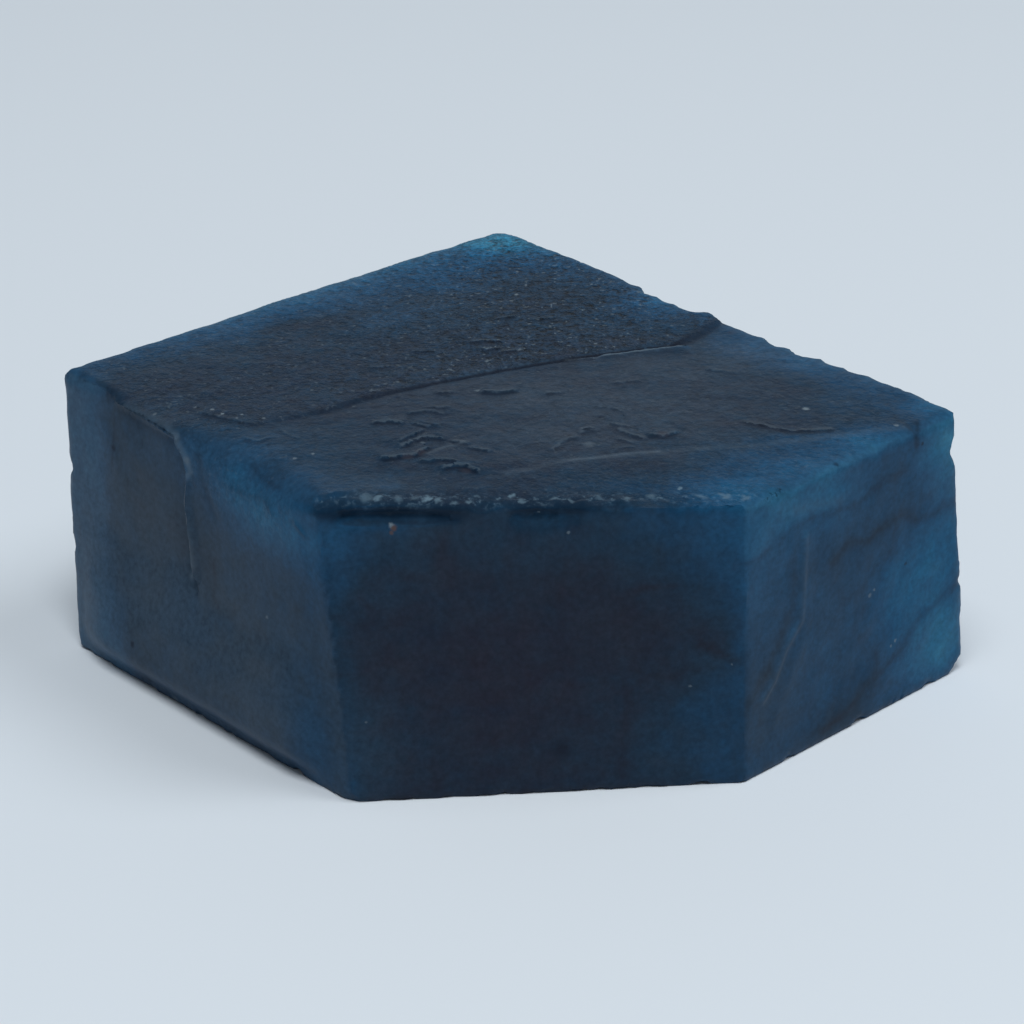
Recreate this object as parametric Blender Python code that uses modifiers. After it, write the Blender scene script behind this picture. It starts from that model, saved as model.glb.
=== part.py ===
"""Rough aquamarine: a sawn five-sided block of cloudy beryl, about 60 mm across and 20 mm tall.

The block stands on a flat sawn base. Three of its corners are square, and the fourth is sawn off
by the front wall. An old crack runs across the top, a thin curved ridge parts two fracture levels
on the left wall, flaked ledges roughen the top, and the edges are chipped and scalloped.

The frame: +Z is up, the base lies on z = 0, the front wall faces -Y and the long diagonal runs
along X. The origin is the middle of the footprint's bounding box. Sizes below are in millimetres.
"""
import math
import random

import bmesh
import bpy
import numpy as np
from mathutils import Matrix, Vector, noise

MM = 0.001

# The block: each corner's place at the foot and at the rim, so the walls lean a little.
HEIGHT = 19.8
CORNERS = {
    "west": ((-30.4, -3.2), (-30.8, -1.0)),
    "north": ((0.4, 24.3), (-1.7, 25.0)),
    "east": ((30.1, -6.4), (28.4, -8.4)),
    "front_right": ((14.3, -22.2), (13.8, -21.7)),
    "front_left": ((-10.8, -24.8), (-12.5, -22.1)),
}
# Each wall runs between two corners, the right-hand one first when seen from outside.
WALLS = {
    "back_left": ("west", "north"),
    "back_right": ("north", "east"),
    "right": ("east", "front_right"),
    "front": ("front_right", "front_left"),
    "left": ("front_left", "west"),
}

# Worn edges: the width of the rounding on upright edges, rim edges and foot edges.
UPRIGHT_ROUND = {"west": 0.7, "north": 1.7, "east": 0.6, "front_right": 0.12, "front_left": 0.3}
RIM_ROUND = {"back_left": 1.1, "back_right": 0.3, "right": 0.5, "front": 0.4, "left": 0.8}
FOOT_ROUND = 0.2
WIDEST_ROUND = 2.0
# Level cuts that let the leaning walls twist smoothly.
WALL_CUTS = 7

# Scallops along the back right rim: distance from the north corner and depth of each.
RIM_SCALLOPS = (
    (5.9, 0.12), (9.3, 0.08), (14.5, 0.34), (16.9, 0.70), (18.7, 0.84), (20.5, 0.90), (22.4, 0.24),
    (23.7, 0.50), (25.1, 0.62), (26.8, 0.62), (29.0, 0.78), (31.4, 0.80), (33.8, 0.48),
    (35.7, 0.40), (38.2, 0.20), (42.4, 0.20),
)
SCALLOP_RADIUS = 2.1
# Bites on upright edges: corner, height, width along the edge and depth.
UPRIGHT_BITES = (
    ("west", 12.7, 1.2, 0.62),
    ("west", 7.4, 1.3, 0.60),
    ("west", 3.4, 0.9, 0.20),
    ("east", 17.0, 2.6, 0.72),
    ("east", 12.4, 1.6, 0.18),
    ("east", 6.9, 1.0, 0.50),
    ("front_left", 15.9, 2.4, 0.25),
)
# Random chips: wall, rim or foot, how many, smallest and largest width, depth over width.
EDGE_CHIPS = (
    ("front", "rim", 16, 0.9, 1.9, 0.24),
    ("right", "rim", 12, 0.7, 1.7, 0.20),
    ("left", "rim", 6, 0.8, 1.6, 0.18),
    ("back_left", "rim", 5, 0.8, 1.6, 0.14),
    ("front", "foot", 6, 0.8, 1.8, 0.16),
    ("right", "foot", 7, 0.8, 1.9, 0.18),
    ("left", "foot", 8, 0.8, 2.0, 0.18),
    ("back_left", "foot", 10, 1.0, 3.0, 0.20),
    ("back_right", "foot", 12, 1.0, 3.2, 0.22),
)
CHIP_SEED = 11
# Corners broken off by a flat fracture: corner, foot or rim, slope of the cut and its depth.
BROKEN_CORNERS = (
    ("west", "foot", 0.9, 0.45),
    ("east", "foot", 0.8, 0.95),
    ("front_left", "foot", 0.5, 0.45),
    ("north", "rim", 0.9, 0.9),
    ("west", "rim", 0.8, 0.45),
)
# The shell-shaped fracture that rolls the left rim over beside the front left corner.
SHELL_FRACTURE = {"from_west": 21.2, "length": 17.0, "depth": 1.45}
# Undercuts below the front rim: distance from the front left corner, length, height and depth.
FRONT_UNDERCUTS = ((4.6, 9.2, 0.9, 0.42), (14.1, 5.4, 0.8, 0.34))
UNDERCUT_DROP = 1.0

# The crack across the top, from near the left wall to the back right rim.
CRACK = (
    (-15.9, -10.2), (-12.6, -8.4), (-9.8, -6.2), (-5.7, -3.9), (-1.0, -1.4), (3.5, 0.4),
    (7.8, 1.9), (10.7, 2.8), (12.8, 5.3), (14.2, 7.3),
)
CRACK_WIDTH = 0.40
CRACK_DEPTH = 0.20
CRACK_LIFT = 0.12
CRACK_LIFT_RUN = 5.0
# The thin lip standing along the crack's right part.
CRACK_LIP = ((5.6, 0.75), (8.2, 1.65), (11.2, 2.45))
LIP_HEIGHT = 0.18
LIP_WIDTH = 0.28
# Flaked ledges on the top, each raised behind its line: points, height and run of the raised side.
LEDGES = (
    (((-8.4, -15.8), (-7.4, -15.4), (-6.1, -14.2), (-5.4, -12.6)), 0.34, 1.6),
    (((-7.3, -13.7), (-6.6, -12.5), (-5.8, -11.6)), 0.26, 1.2),
    (((-5.9, -15.4), (-4.5, -15.9), (-3.0, -16.4)), 0.30, 1.5),
    (((-4.5, -17.2), (-3.5, -17.5), (-2.6, -17.0)), 0.40, 1.3),
    (((-3.6, -13.0), (-2.7, -13.8), (-1.7, -14.5)), 0.20, 1.2),
    (((-9.2, -9.8), (-8.3, -10.2), (-7.3, -9.9)), 0.26, 1.0),
    (((-2.2, -5.1), (-1.2, -5.3), (-0.1, -4.9)), 0.32, 1.0),
    (((-5.1, -5.5), (-4.1, -5.3)), 0.20, 0.8),
    (((2.0, -5.7), (2.9, -5.5)), 0.20, 0.8),
    (((6.3, -10.4), (7.3, -11.4), (8.0, -12.5)), 0.18, 1.0),
    (((8.6, -12.1), (9.4, -12.3), (10.2, -11.7)), 0.26, 1.0),
    (((2.3, -13.7), (3.1, -13.1), (3.8, -13.2)), 0.18, 0.8),
    (((-20.5, -8.6), (-18.8, -9.7), (-16.9, -10.6)), 0.10, 1.4),
    (((-2.5, 2.2), (1.0, 3.4), (4.2, 4.0)), 0.07, 2.0),
)
LEDGE_RISER = 0.28
# A seam in front of which the top slopes down to the front and right rims.
SEAM = ((-9.0, -20.5), (-1.8, -18.7), (6.3, -15.3), (12.9, -13.3), (20.0, -11.6), (26.0, -10.6))
SEAM_SLOPE = 0.075

# The ridge on the left wall: along the rim, over it and down the wall, with the wall set back beyond.
LEFT_RIDGE = (
    (-26.3, -5.5, 19.5), (-23.8, -8.3, 19.4), (-21.8, -10.4, 19.2), (-21.0, -11.4, 18.1),
    (-20.8, -11.7, 16.8), (-21.0, -11.7, 15.0), (-20.7, -12.2, 12.4), (-20.5, -12.5, 10.2),
)
LEFT_RIDGE_HEIGHT = 0.30
LEFT_RIDGE_WIDTH = 0.32
LEFT_SETBACK = 0.45
LEFT_SETBACK_RUN = 7.0
LEFT_SETBACK_FLOOR = 6.0
# The left wall swells just above the foot: how far, at what height, how high it fades out, and
# the stretch at each end of the wall over which it dies away.
LEFT_SWELL = 1.1
SWELL_HEIGHT = 2.4
SWELL_TOP = 11.0
SWELL_END = 5.0
# The ridge on the right wall.
RIGHT_RIDGE = (
    (18.0, -17.8, 15.2), (18.1, -17.9, 12.0), (18.0, -17.9, 9.5), (17.6, -18.4, 7.4),
    (16.7, -19.3, 5.2), (16.0, -20.0, 3.4),
)
RIGHT_RIDGE_HEIGHT = 0.10
RIGHT_RIDGE_WIDTH = 0.34

# The stone's own unevenness: broad waves and finer lumps on each surface.
TOP_WAVE = (9.0, 0.14)
TOP_LUMPS = (2.6, 0.05)
WALL_WAVE = (8.0, 0.13)
WALL_LUMPS = (2.4, 0.035)
# The two back walls are rougher fracture faces.
BACK_LUMPS = (4.2, 0.22)

# Mesh density: the fine mesh that takes the relief, and the triangles kept at the end.
VOXEL = 0.28
TRIANGLES_KEPT = 9000
BASE_SNAP = 0.16

STONE_COLOUR = (0.022, 0.062, 0.105, 1.0)
STONE_ROUGHNESS = 0.45


def clear_scene():
    """Empties the scene of objects and of the data they leave behind."""
    for item in list(bpy.data.objects):
        bpy.data.objects.remove(item, do_unlink=True)
    for mesh in list(bpy.data.meshes):
        bpy.data.meshes.remove(mesh)


def new_collection(name):
    """Makes a collection in the scene."""
    collection = bpy.data.collections.new(name)
    bpy.context.scene.collection.children.link(collection)
    return collection


def stone_material():
    """Cloudy blue-green beryl."""
    material = bpy.data.materials.new("aquamarine_stone")
    material.use_nodes = True
    shader = material.node_tree.nodes["Principled BSDF"]
    shader.inputs["Base Color"].default_value = STONE_COLOUR
    shader.inputs["Roughness"].default_value = STONE_ROUGHNESS
    shader.inputs["Metallic"].default_value = 0.0
    shader.inputs["IOR"].default_value = 1.575
    return material


# ---------------------------------------------------------------- places on the block

def corner_point(name, level):
    """A corner's place in mm, at level 0 (foot) to 1 (rim)."""
    foot, rim = CORNERS[name]
    flat = Vector(foot).lerp(Vector(rim), level)
    return Vector((flat.x, flat.y, HEIGHT * level))


def wall_normal(name):
    """A wall's level outward direction, halfway up."""
    first, second = (corner_point(corner, 0.5) for corner in WALLS[name])
    run = (second - first).normalized()
    return Vector((-run.y, run.x, 0.0))


def corner_outward(name):
    """The level direction that points straight out of a corner."""
    normals = [wall_normal(wall) for wall, ends in WALLS.items() if name in ends]
    return (normals[0] + normals[1]).normalized()


# ---------------------------------------------------------------- the sawn block

def ring_order(point):
    """Sort key that walks a ring of points once around the vertical axis."""
    return math.atan2(point.y, point.x)


def make_block(collection, material):
    """A five-sided prism whose corners are moved to the block's outline, with worn edges."""
    mesh = bpy.data.meshes.new("aquamarine_block")
    bm = bmesh.new()
    bmesh.ops.create_cone(
        bm, cap_ends=True, cap_tris=False, segments=len(CORNERS),
        radius1=HEIGHT * MM, radius2=HEIGHT * MM, depth=HEIGHT * MM)
    corner_of = {}
    for level in (0, 1):
        ring = [vert for vert in bm.verts if (vert.co.z > 0) == bool(level)]
        ring.sort(key=lambda vert: ring_order(vert.co))
        names = sorted(CORNERS, key=lambda name: ring_order(corner_point(name, level)))
        for vert, name in zip(ring, names):
            vert.co = corner_point(name, level) * MM
            corner_of[vert] = (name, level)
    weights = bm.edges.layers.float.new("bevel_weight_edge")
    uprights = []
    for edge in bm.edges:
        ends = [corner_of[vert] for vert in edge.verts]
        edge[weights] = edge_round(*ends) / WIDEST_ROUND
        if ends[0][0] == ends[1][0]:
            uprights.append(edge)
    bmesh.ops.subdivide_edges(bm, edges=uprights, cuts=WALL_CUTS, use_grid_fill=True)
    bm.to_mesh(mesh)
    bm.free()
    mesh.materials.append(material)
    block = bpy.data.objects.new("aquamarine_block", mesh)
    collection.objects.link(block)
    bevel = block.modifiers.new("worn edges", "BEVEL")
    bevel.limit_method = "WEIGHT"
    bevel.width = WIDEST_ROUND * MM
    bevel.segments = 4
    return block


def edge_round(first, second):
    """The width of rounding on the edge between two (corner, level) ends."""
    if first[0] == second[0]:
        return UPRIGHT_ROUND[first[0]]
    if first[1] == 0:
        return FOOT_ROUND
    ends = {first[0], second[0]}
    return next(RIM_ROUND[wall] for wall, pair in WALLS.items() if set(pair) == ends)


# ---------------------------------------------------------------- cutters for the fractures

def add_cutter(collection, name, bm):
    """Links a finished cutter, which is never part of the stone itself."""
    mesh = bpy.data.meshes.new(name)
    bm.to_mesh(mesh)
    bm.free()
    cutter = bpy.data.objects.new(name, mesh)
    cutter.hide_render = True
    cutter.display_type = "WIRE"
    collection.objects.link(cutter)
    return cutter


def shell_cutter(collection, name, place, outward, width, depth):
    """A ball that cuts a shell-shaped chip of a width and depth at a place on an edge."""
    radius = (width * width / 4 + depth * depth) / (2 * depth)
    bm = bmesh.new()
    bmesh.ops.create_icosphere(bm, subdivisions=3, radius=radius * MM)
    turn = Matrix.Rotation(radius * 7.0, 4, Vector((1.0, 2.0, 3.0)).normalized())
    bmesh.ops.transform(bm, matrix=turn, verts=bm.verts)
    bmesh.ops.translate(bm, vec=(place + outward * (radius - depth)) * MM, verts=bm.verts)
    return add_cutter(collection, name, bm)


def flat_cutter(collection, name, place, outward, depth):
    """A cube whose near face cuts a corner off flat, at a depth below the corner."""
    size = 9.0
    bm = bmesh.new()
    bmesh.ops.create_cube(bm, size=size * MM)
    turn = outward.to_track_quat("Z", "Y").to_matrix().to_4x4()
    bmesh.ops.transform(bm, matrix=turn, verts=bm.verts)
    bmesh.ops.translate(bm, vec=(place + outward * (size / 2 - depth)) * MM, verts=bm.verts)
    return add_cutter(collection, name, bm)


def rim_place(wall, along, level):
    """A place on a wall's rim or foot edge, by its share of the way along, and its outward direction."""
    first, second = (corner_point(corner, level) for corner in WALLS[wall])
    up = Vector((0.0, 0.0, 1.0 if level else -1.0))
    return first.lerp(second, along), (wall_normal(wall) + up).normalized()


def rim_length(wall):
    """The length of a wall's rim."""
    first, second = (corner_point(corner, 1) for corner in WALLS[wall])
    return (second - first).length


def cut_rim_scallops(collection):
    """The row of scallops that nibble the back right rim."""
    length = rim_length("back_right")
    for number, (distance, depth) in enumerate(RIM_SCALLOPS):
        place, outward = rim_place("back_right", distance / length, 1)
        width = 2 * math.sqrt(2 * SCALLOP_RADIUS * depth - depth * depth)
        shell_cutter(collection, f"scallop_{number:02d}", place, outward, width, depth)


def cut_upright_bites(collection):
    """Bites out of the upright edges."""
    for number, (corner, height, width, depth) in enumerate(UPRIGHT_BITES):
        place = corner_point(corner, height / HEIGHT)
        shell_cutter(collection, f"bite_{number:02d}", place, corner_outward(corner), width, depth)


def cut_edge_chips(collection):
    """Small chips strewn along the rim and foot edges."""
    dice = random.Random(CHIP_SEED)
    for wall, edge, count, smallest, largest, share in EDGE_CHIPS:
        for number in range(count):
            along = (number + dice.uniform(0.15, 0.85)) / count
            width = dice.uniform(smallest, largest)
            place, outward = rim_place(wall, along, 1 if edge == "rim" else 0)
            outward = (outward + wall_normal(wall) * dice.uniform(-0.5, 0.5)).normalized()
            depth = width * share * dice.uniform(0.6, 1.3)
            shell_cutter(collection, f"chip_{wall}_{edge}_{number:02d}", place, outward, width, depth)


def cut_broken_corners(collection):
    """Corners broken off flat."""
    for corner, edge, slope, depth in BROKEN_CORNERS:
        level = 1 if edge == "rim" else 0
        up = Vector((0.0, 0.0, slope if level else -slope))
        outward = (corner_outward(corner) + up).normalized()
        place = corner_point(corner, level)
        flat_cutter(collection, f"broken_{corner}_{edge}", place, outward, depth)


def cut_shell_fracture(collection):
    """The large shell-shaped fracture on the left rim."""
    along = 1.0 - SHELL_FRACTURE["from_west"] / rim_length("left")
    place, outward = rim_place("left", along, 1)
    shell_cutter(
        collection, "shell_fracture", place, outward,
        SHELL_FRACTURE["length"], SHELL_FRACTURE["depth"])


def cut_front_undercuts(collection):
    """Long shallow hollows just below the front rim."""
    right_end, left_end = (corner_point(corner, 1) for corner in WALLS["front"])
    run = (right_end - left_end).normalized()
    for number, (distance, length, height, depth) in enumerate(FRONT_UNDERCUTS):
        place = left_end + run * distance - Vector((0.0, 0.0, UNDERCUT_DROP))
        bm = bmesh.new()
        bmesh.ops.create_uvsphere(bm, u_segments=24, v_segments=12, radius=1.0)
        stretch = Matrix.Diagonal((length / 2 * MM, depth * MM, height / 2 * MM, 1.0))
        bmesh.ops.transform(bm, matrix=stretch, verts=bm.verts)
        bmesh.ops.translate(bm, vec=place * MM, verts=bm.verts)
        add_cutter(collection, f"undercut_{number}", bm)


def cut_fractures(block, collection):
    """Takes every cutter out of the block."""
    cut_rim_scallops(collection)
    cut_upright_bites(collection)
    cut_edge_chips(collection)
    cut_broken_corners(collection)
    cut_shell_fracture(collection)
    cut_front_undercuts(collection)
    cut = block.modifiers.new("fractures", "BOOLEAN")
    cut.operation = "DIFFERENCE"
    cut.solver = "EXACT"
    cut.operand_type = "COLLECTION"
    cut.collection = collection
    cut.use_self = True


# ---------------------------------------------------------------- relief on the surfaces

def smooth_step(values, low, high):
    """Rises smoothly from 0 at low to 1 at high."""
    share = np.clip((values - low) / (high - low), 0.0, 1.0)
    return share * share * (3.0 - 2.0 * share)


def line_distance(points, line):
    """Signed distance from a bent line, positive on its left, and the overrun past its ends."""
    best = np.full(len(points), np.inf)
    signed = np.zeros(len(points))
    overrun = np.zeros(len(points))
    line = np.asarray(line, dtype=float)
    for number in range(len(line) - 1):
        run = line[number + 1] - line[number]
        length = np.linalg.norm(run)
        along = (points - line[number]) @ run / length
        held = np.clip(along, 0.0, length)
        away = points - line[number] - np.outer(held / length, run)
        distance = np.linalg.norm(away, axis=1)
        side = run[0] * away[:, 1] - run[1] * away[:, 0]
        nearer = distance < best
        best = np.where(nearer, distance, best)
        signed = np.where(nearer, np.where(side >= 0, distance, -distance), signed)
        first, last = number == 0, number == len(line) - 2
        past = np.zeros(len(points))
        if first:
            past = np.maximum(past, -along)
        if last:
            past = np.maximum(past, along - length)
        overrun = np.where(nearer, past, overrun)
    return signed, overrun


def rounded_line(points, line, width, fade):
    """A ridge or groove of unit height along a line, faded over its ends."""
    signed, overrun = line_distance(points, line)
    return np.exp(-(signed / width) ** 2) * (1.0 - smooth_step(overrun, 0.0, fade))


def raised_behind(points, line, riser, run, fade):
    """A unit step up across a line, which dies away behind it over a run and past its ends."""
    signed, overrun = line_distance(points, line)
    step = smooth_step(signed, -riser, riser) * np.exp(-np.maximum(signed, 0.0) / run)
    return step * (1.0 - smooth_step(overrun, -0.3 * fade, fade))


def unevenness(points, size, height, seed):
    """Smooth random relief with lumps of a size and a height."""
    shift = Vector((seed * 31.7, seed * 17.3, seed * 7.9))
    values = [noise.noise(Vector(point) / size + shift) for point in points]
    return height * np.array(values)


def top_relief(points):
    """Height in mm to add to the top: the crack, its lip, the ledges and the sloping front."""
    flat = points[:, :2]
    relief = unevenness(points, *TOP_WAVE, 1) + unevenness(points, *TOP_LUMPS, 2)
    relief -= CRACK_DEPTH * rounded_line(flat, CRACK, CRACK_WIDTH, 0.8)
    relief += CRACK_LIFT * raised_behind(flat, CRACK, CRACK_WIDTH, CRACK_LIFT_RUN, 5.0)
    relief += LIP_HEIGHT * rounded_line(flat, CRACK_LIP, LIP_WIDTH, 0.6)
    for line, height, run in LEDGES:
        relief += height * raised_behind(flat, line, LEDGE_RISER, run, 0.6)
    in_front = -line_distance(flat, SEAM)[0]
    relief -= SEAM_SLOPE * np.maximum(in_front, 0.0)
    return relief


def wall_frame(wall, points):
    """Each point's distance along a wall from its first corner, with its height, and off the wall."""
    level = points[:, 2:3] / HEIGHT
    ends = []
    for corner in WALLS[wall]:
        foot, rim = (np.array(place) for place in CORNERS[corner])
        ends.append(foot + (rim - foot) * level)
    run = ends[1] - ends[0]
    run /= np.linalg.norm(run, axis=1, keepdims=True)
    away = points[:, :2] - ends[0]
    along = (away * run).sum(axis=1)
    off = run[:, 0] * away[:, 1] - run[:, 1] * away[:, 0]
    return np.column_stack([along, points[:, 2]]), off


def wall_line(wall, line):
    """A line of points on a wall, as distance along it and height."""
    return wall_frame(wall, np.asarray(line, dtype=float))[0]


def foot_swell(places):
    """The swelling just above the left wall's foot, which overhangs the base's edge."""
    along, height = places.T
    length = (corner_point("west", 0) - corner_point("front_left", 0)).length
    swell = smooth_step(height, 0.0, SWELL_HEIGHT) * (1.0 - smooth_step(height, SWELL_HEIGHT, SWELL_TOP))
    ends = smooth_step(along, 0.0, SWELL_END) * smooth_step(length - along, 0.0, SWELL_END)
    return LEFT_SWELL * swell * ends


def left_relief(places):
    """The left wall: its ridge, the wall set back beyond the ridge, and the swollen foot."""
    ridge = wall_line("left", LEFT_RIDGE)
    signed = line_distance(places, ridge)[0]
    beyond = np.maximum(signed, 0.0)
    high_up = smooth_step(places[:, 1], LEFT_SETBACK_FLOOR, LEFT_SETBACK_FLOOR + 6.0)
    relief = LEFT_RIDGE_HEIGHT * rounded_line(places, ridge, LEFT_RIDGE_WIDTH, 2.0)
    set_back = smooth_step(signed, 0.0, 0.5) * np.exp(-beyond / LEFT_SETBACK_RUN) * high_up
    return relief - LEFT_SETBACK * set_back + foot_swell(places)


def right_relief(places):
    """The right wall: one upright ridge that bends to the left near the foot."""
    ridge = wall_line("right", RIGHT_RIDGE)
    return RIGHT_RIDGE_HEIGHT * rounded_line(places, ridge, RIGHT_RIDGE_WIDTH, 1.5)


WALL_RELIEF = {"left": left_relief, "right": right_relief}


def carve_relief(mesh):
    """Moves the fine mesh's points by the relief of the surface that each one lies on."""
    count = len(mesh.vertices)
    points = np.empty(count * 3)
    normals = np.empty(count * 3)
    mesh.vertices.foreach_get("co", points)
    mesh.vertex_normals.foreach_get("vector", normals)
    points = points.reshape(-1, 3) / MM
    normals = normals.reshape(-1, 3)
    moved = points.copy()
    on_top = smooth_step(normals[:, 2], 0.3, 0.8)
    moved[:, 2] += on_top * top_relief(points)
    off_base = smooth_step(points[:, 2], 0.2, 1.2)
    waves = unevenness(points, *WALL_WAVE, 3) + unevenness(points, *WALL_LUMPS, 4)
    rough = unevenness(points, *BACK_LUMPS, 5)
    for wall in WALLS:
        outward = np.array(wall_normal(wall))
        places, off = wall_frame(wall, points)
        facing = smooth_step(normals @ outward, 0.45, 0.85) * (np.abs(off) < 2.0)
        relief = waves.copy()
        if wall in WALL_RELIEF:
            relief += WALL_RELIEF[wall](places)
        elif wall.startswith("back"):
            relief += rough
        moved += np.outer(facing * off_base * relief, outward)
    moved[:, 2] = np.where(points[:, 2] < BASE_SNAP, 0.0, np.maximum(moved[:, 2], 0.0))
    mesh.vertices.foreach_set("co", (moved * MM).ravel())
    mesh.update()


def settle(mesh):
    """Flattens the base onto z = 0 and puts the footprint's middle at the origin."""
    points = np.empty(len(mesh.vertices) * 3)
    mesh.vertices.foreach_get("co", points)
    points = points.reshape(-1, 3)
    points[points[:, 2] < BASE_SNAP * MM, 2] = 0.0
    points[:, :2] -= (points[:, :2].max(axis=0) + points[:, :2].min(axis=0)) / 2
    mesh.vertices.foreach_set("co", points.ravel())
    mesh.update()


def evaluated_mesh(source, name):
    """The mesh of an object as its modifiers leave it."""
    graph = bpy.context.evaluated_depsgraph_get()
    mesh = bpy.data.meshes.new_from_object(source.evaluated_get(graph))
    mesh.name = name
    return mesh


def make_stone():
    """The whole stone: block, fractures, relief, then a mesh light enough to keep."""
    stones = new_collection("rough_aquamarine")
    cutters = new_collection("cutters")
    material = stone_material()
    block = make_block(stones, material)
    cut_fractures(block, cutters)
    remesh = block.modifiers.new("fine mesh", "REMESH")
    remesh.mode = "VOXEL"
    remesh.voxel_size = VOXEL * MM
    fine = evaluated_mesh(block, "aquamarine")
    bpy.data.objects.remove(block, do_unlink=True)
    carve_relief(fine)
    stone = bpy.data.objects.new("aquamarine", fine)
    stones.objects.link(stone)
    fine.calc_loop_triangles()
    lighten = stone.modifiers.new("kept triangles", "DECIMATE")
    lighten.ratio = TRIANGLES_KEPT / len(fine.loop_triangles)
    lighten.use_collapse_triangulate = True
    kept = evaluated_mesh(stone, "aquamarine")
    stone.modifiers.clear()
    settle(kept)
    stone.data = kept
    kept.materials.clear()
    kept.materials.append(material)
    return stone


clear_scene()
make_stone()
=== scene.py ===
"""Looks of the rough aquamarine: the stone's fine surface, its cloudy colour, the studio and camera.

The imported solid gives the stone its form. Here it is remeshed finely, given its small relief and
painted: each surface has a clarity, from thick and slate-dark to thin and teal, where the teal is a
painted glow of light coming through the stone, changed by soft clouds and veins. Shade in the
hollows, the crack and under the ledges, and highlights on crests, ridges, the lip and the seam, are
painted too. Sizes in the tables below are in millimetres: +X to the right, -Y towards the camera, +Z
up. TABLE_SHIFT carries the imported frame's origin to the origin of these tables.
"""

import contextlib
import math

import bmesh
import bpy
import numpy as np
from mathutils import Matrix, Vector, noise


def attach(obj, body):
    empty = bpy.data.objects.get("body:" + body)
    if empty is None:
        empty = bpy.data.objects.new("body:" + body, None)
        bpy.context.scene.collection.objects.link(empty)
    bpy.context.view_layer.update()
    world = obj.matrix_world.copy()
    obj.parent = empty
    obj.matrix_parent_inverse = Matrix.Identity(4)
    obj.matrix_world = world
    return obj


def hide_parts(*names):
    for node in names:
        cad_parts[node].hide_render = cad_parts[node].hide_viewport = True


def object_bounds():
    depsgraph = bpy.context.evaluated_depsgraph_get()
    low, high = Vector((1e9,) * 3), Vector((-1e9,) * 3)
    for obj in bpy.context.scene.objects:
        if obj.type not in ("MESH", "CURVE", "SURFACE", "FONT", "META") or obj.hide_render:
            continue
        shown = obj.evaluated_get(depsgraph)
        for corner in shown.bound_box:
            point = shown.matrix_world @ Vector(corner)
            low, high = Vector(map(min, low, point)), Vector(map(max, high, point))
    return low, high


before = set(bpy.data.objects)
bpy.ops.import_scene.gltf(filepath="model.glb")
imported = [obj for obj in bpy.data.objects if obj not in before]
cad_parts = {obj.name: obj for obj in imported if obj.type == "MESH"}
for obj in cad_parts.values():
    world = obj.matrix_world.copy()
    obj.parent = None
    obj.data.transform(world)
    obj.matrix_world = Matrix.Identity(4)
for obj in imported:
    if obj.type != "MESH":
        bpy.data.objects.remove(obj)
cad_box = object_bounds()

MM = 0.001
TABLE_SHIFT = np.array((-0.12, -0.1, 0.0))

# ---- camera, floor and light

# The camera's pitch in degrees, its distance and near clip in metres, and its aim.
CAMERA_PITCH = 25.5
CAMERA_DISTANCE = 0.2656
CAMERA_CLIP = 0.01
CAMERA_AIM = (-0.18, 18.12, 0.0)
CAMERA_LENS = 126.56
CAMERA_SENSOR = 36.0

# The floor's size in metres, and how far it lies under the base.
FLOOR_SIZE = 4.0
FLOOR_DROP = 0.02
FLOOR_COLOUR = (0.76, 0.8, 0.845, 1.0)
FLOOR_ROUGHNESS = 0.9
# The surround: dim in front and overhead, pale low behind the stone. Its colours change over these
# parts of the way back and of the way up.
WORLD_FRONT = (0.13, 0.145, 0.16, 1.0)
WORLD_BACK = (0.44, 0.49, 0.54, 1.0)
WORLD_TOP = (0.11, 0.12, 0.13, 1.0)
WORLD_DEPTHS = (0.0, 0.8)
WORLD_HEIGHTS = (0.5, 0.75)
# Soft lamps: place in metres, disk size and power.
LAMPS = {
    "lamp_over_front": ((-0.03, -0.3, 0.82), 0.4, 4.3),
    "lamp_right": ((0.5, -0.04, 0.75), 0.45, 2.3),
}
LAMP_COLOUR = (0.92, 0.97, 1.0)

# ---- the stone's outline

HEIGHT = 19.8
# Each corner's place at the foot and at the rim.
CORNERS = {
    "west": ((-30.1, -3.1), (-30.5, -0.9)),
    "north": ((0.6, 24.4), (-1.4, 25.1)),
    "east": ((30.3, -6.3), (28.6, -8.3)),
    "front_right": ((14.6, -22.1), (14.0, -21.6)),
    "front_left": ((-10.6, -24.7), (-12.2, -22.0)),
}
# Each wall runs between two corners, the right-hand one first when seen from outside.
WALLS = {
    "back_left": ("west", "north"),
    "back_right": ("north", "east"),
    "right": ("east", "front_right"),
    "front": ("front_right", "front_left"),
    "left": ("front_left", "west"),
}

# Fine mesh: its grid, the rounds and the pull that smooth the solid's facets away, the bends that
# are spared, and the reach of the finer parts.
OCTREE_DEPTH = 8
OCTREE_SCALE = 0.82
CELL = 0.29
SMOOTH_ROUNDS = 10
SMOOTH_PULL = 0.6
EDGE_BEND = (0.05, 0.14)
SPARED_CELLS = 2
DETAIL_REACH = 0.8
# Walls that meet at more than SHARP_ANGLE, in degrees, meet crisply, and a wall's normal rises by
# less than WALL_RISE.
SHARP_ANGLE = 25.0
WALL_RISE = 0.4
# How far a normal points in a direction to begin to face it and to face it fully: for the relief,
# and for the border of the top's colour.
FACING = (0.45, 0.8)
TOP_BORDER = (0.45, 0.75)
# The tables' lines lie on the top above this height, and this much misfit to the surface is free.
TOP_LEVEL = 19.45
SURFACE_SLACK = 1.4
BASE_LEVEL = 0.03
# Shifts the noise by seed, so that each use of it gets lumps of its own.
SEED_SHIFT = (31.7, 17.3, 7.9)
# Single points that stand further than this off their neighbours, above the foot, are drawn back.
SPIKE_HEIGHT = 0.12
SPIKE_ROUNDS = 4
SPIKE_FLOOR = 1.0

# ---- relief

# The crack across the top, and the thin lip standing along its right part.
CRACK = (
    (-15.9, -10.2), (-12.6, -8.4), (-9.8, -6.2), (-5.7, -3.9), (-1.0, -1.4), (3.5, 0.4),
    (7.8, 1.9), (10.7, 2.8), (12.8, 5.3), (14.2, 7.3),
)
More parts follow.
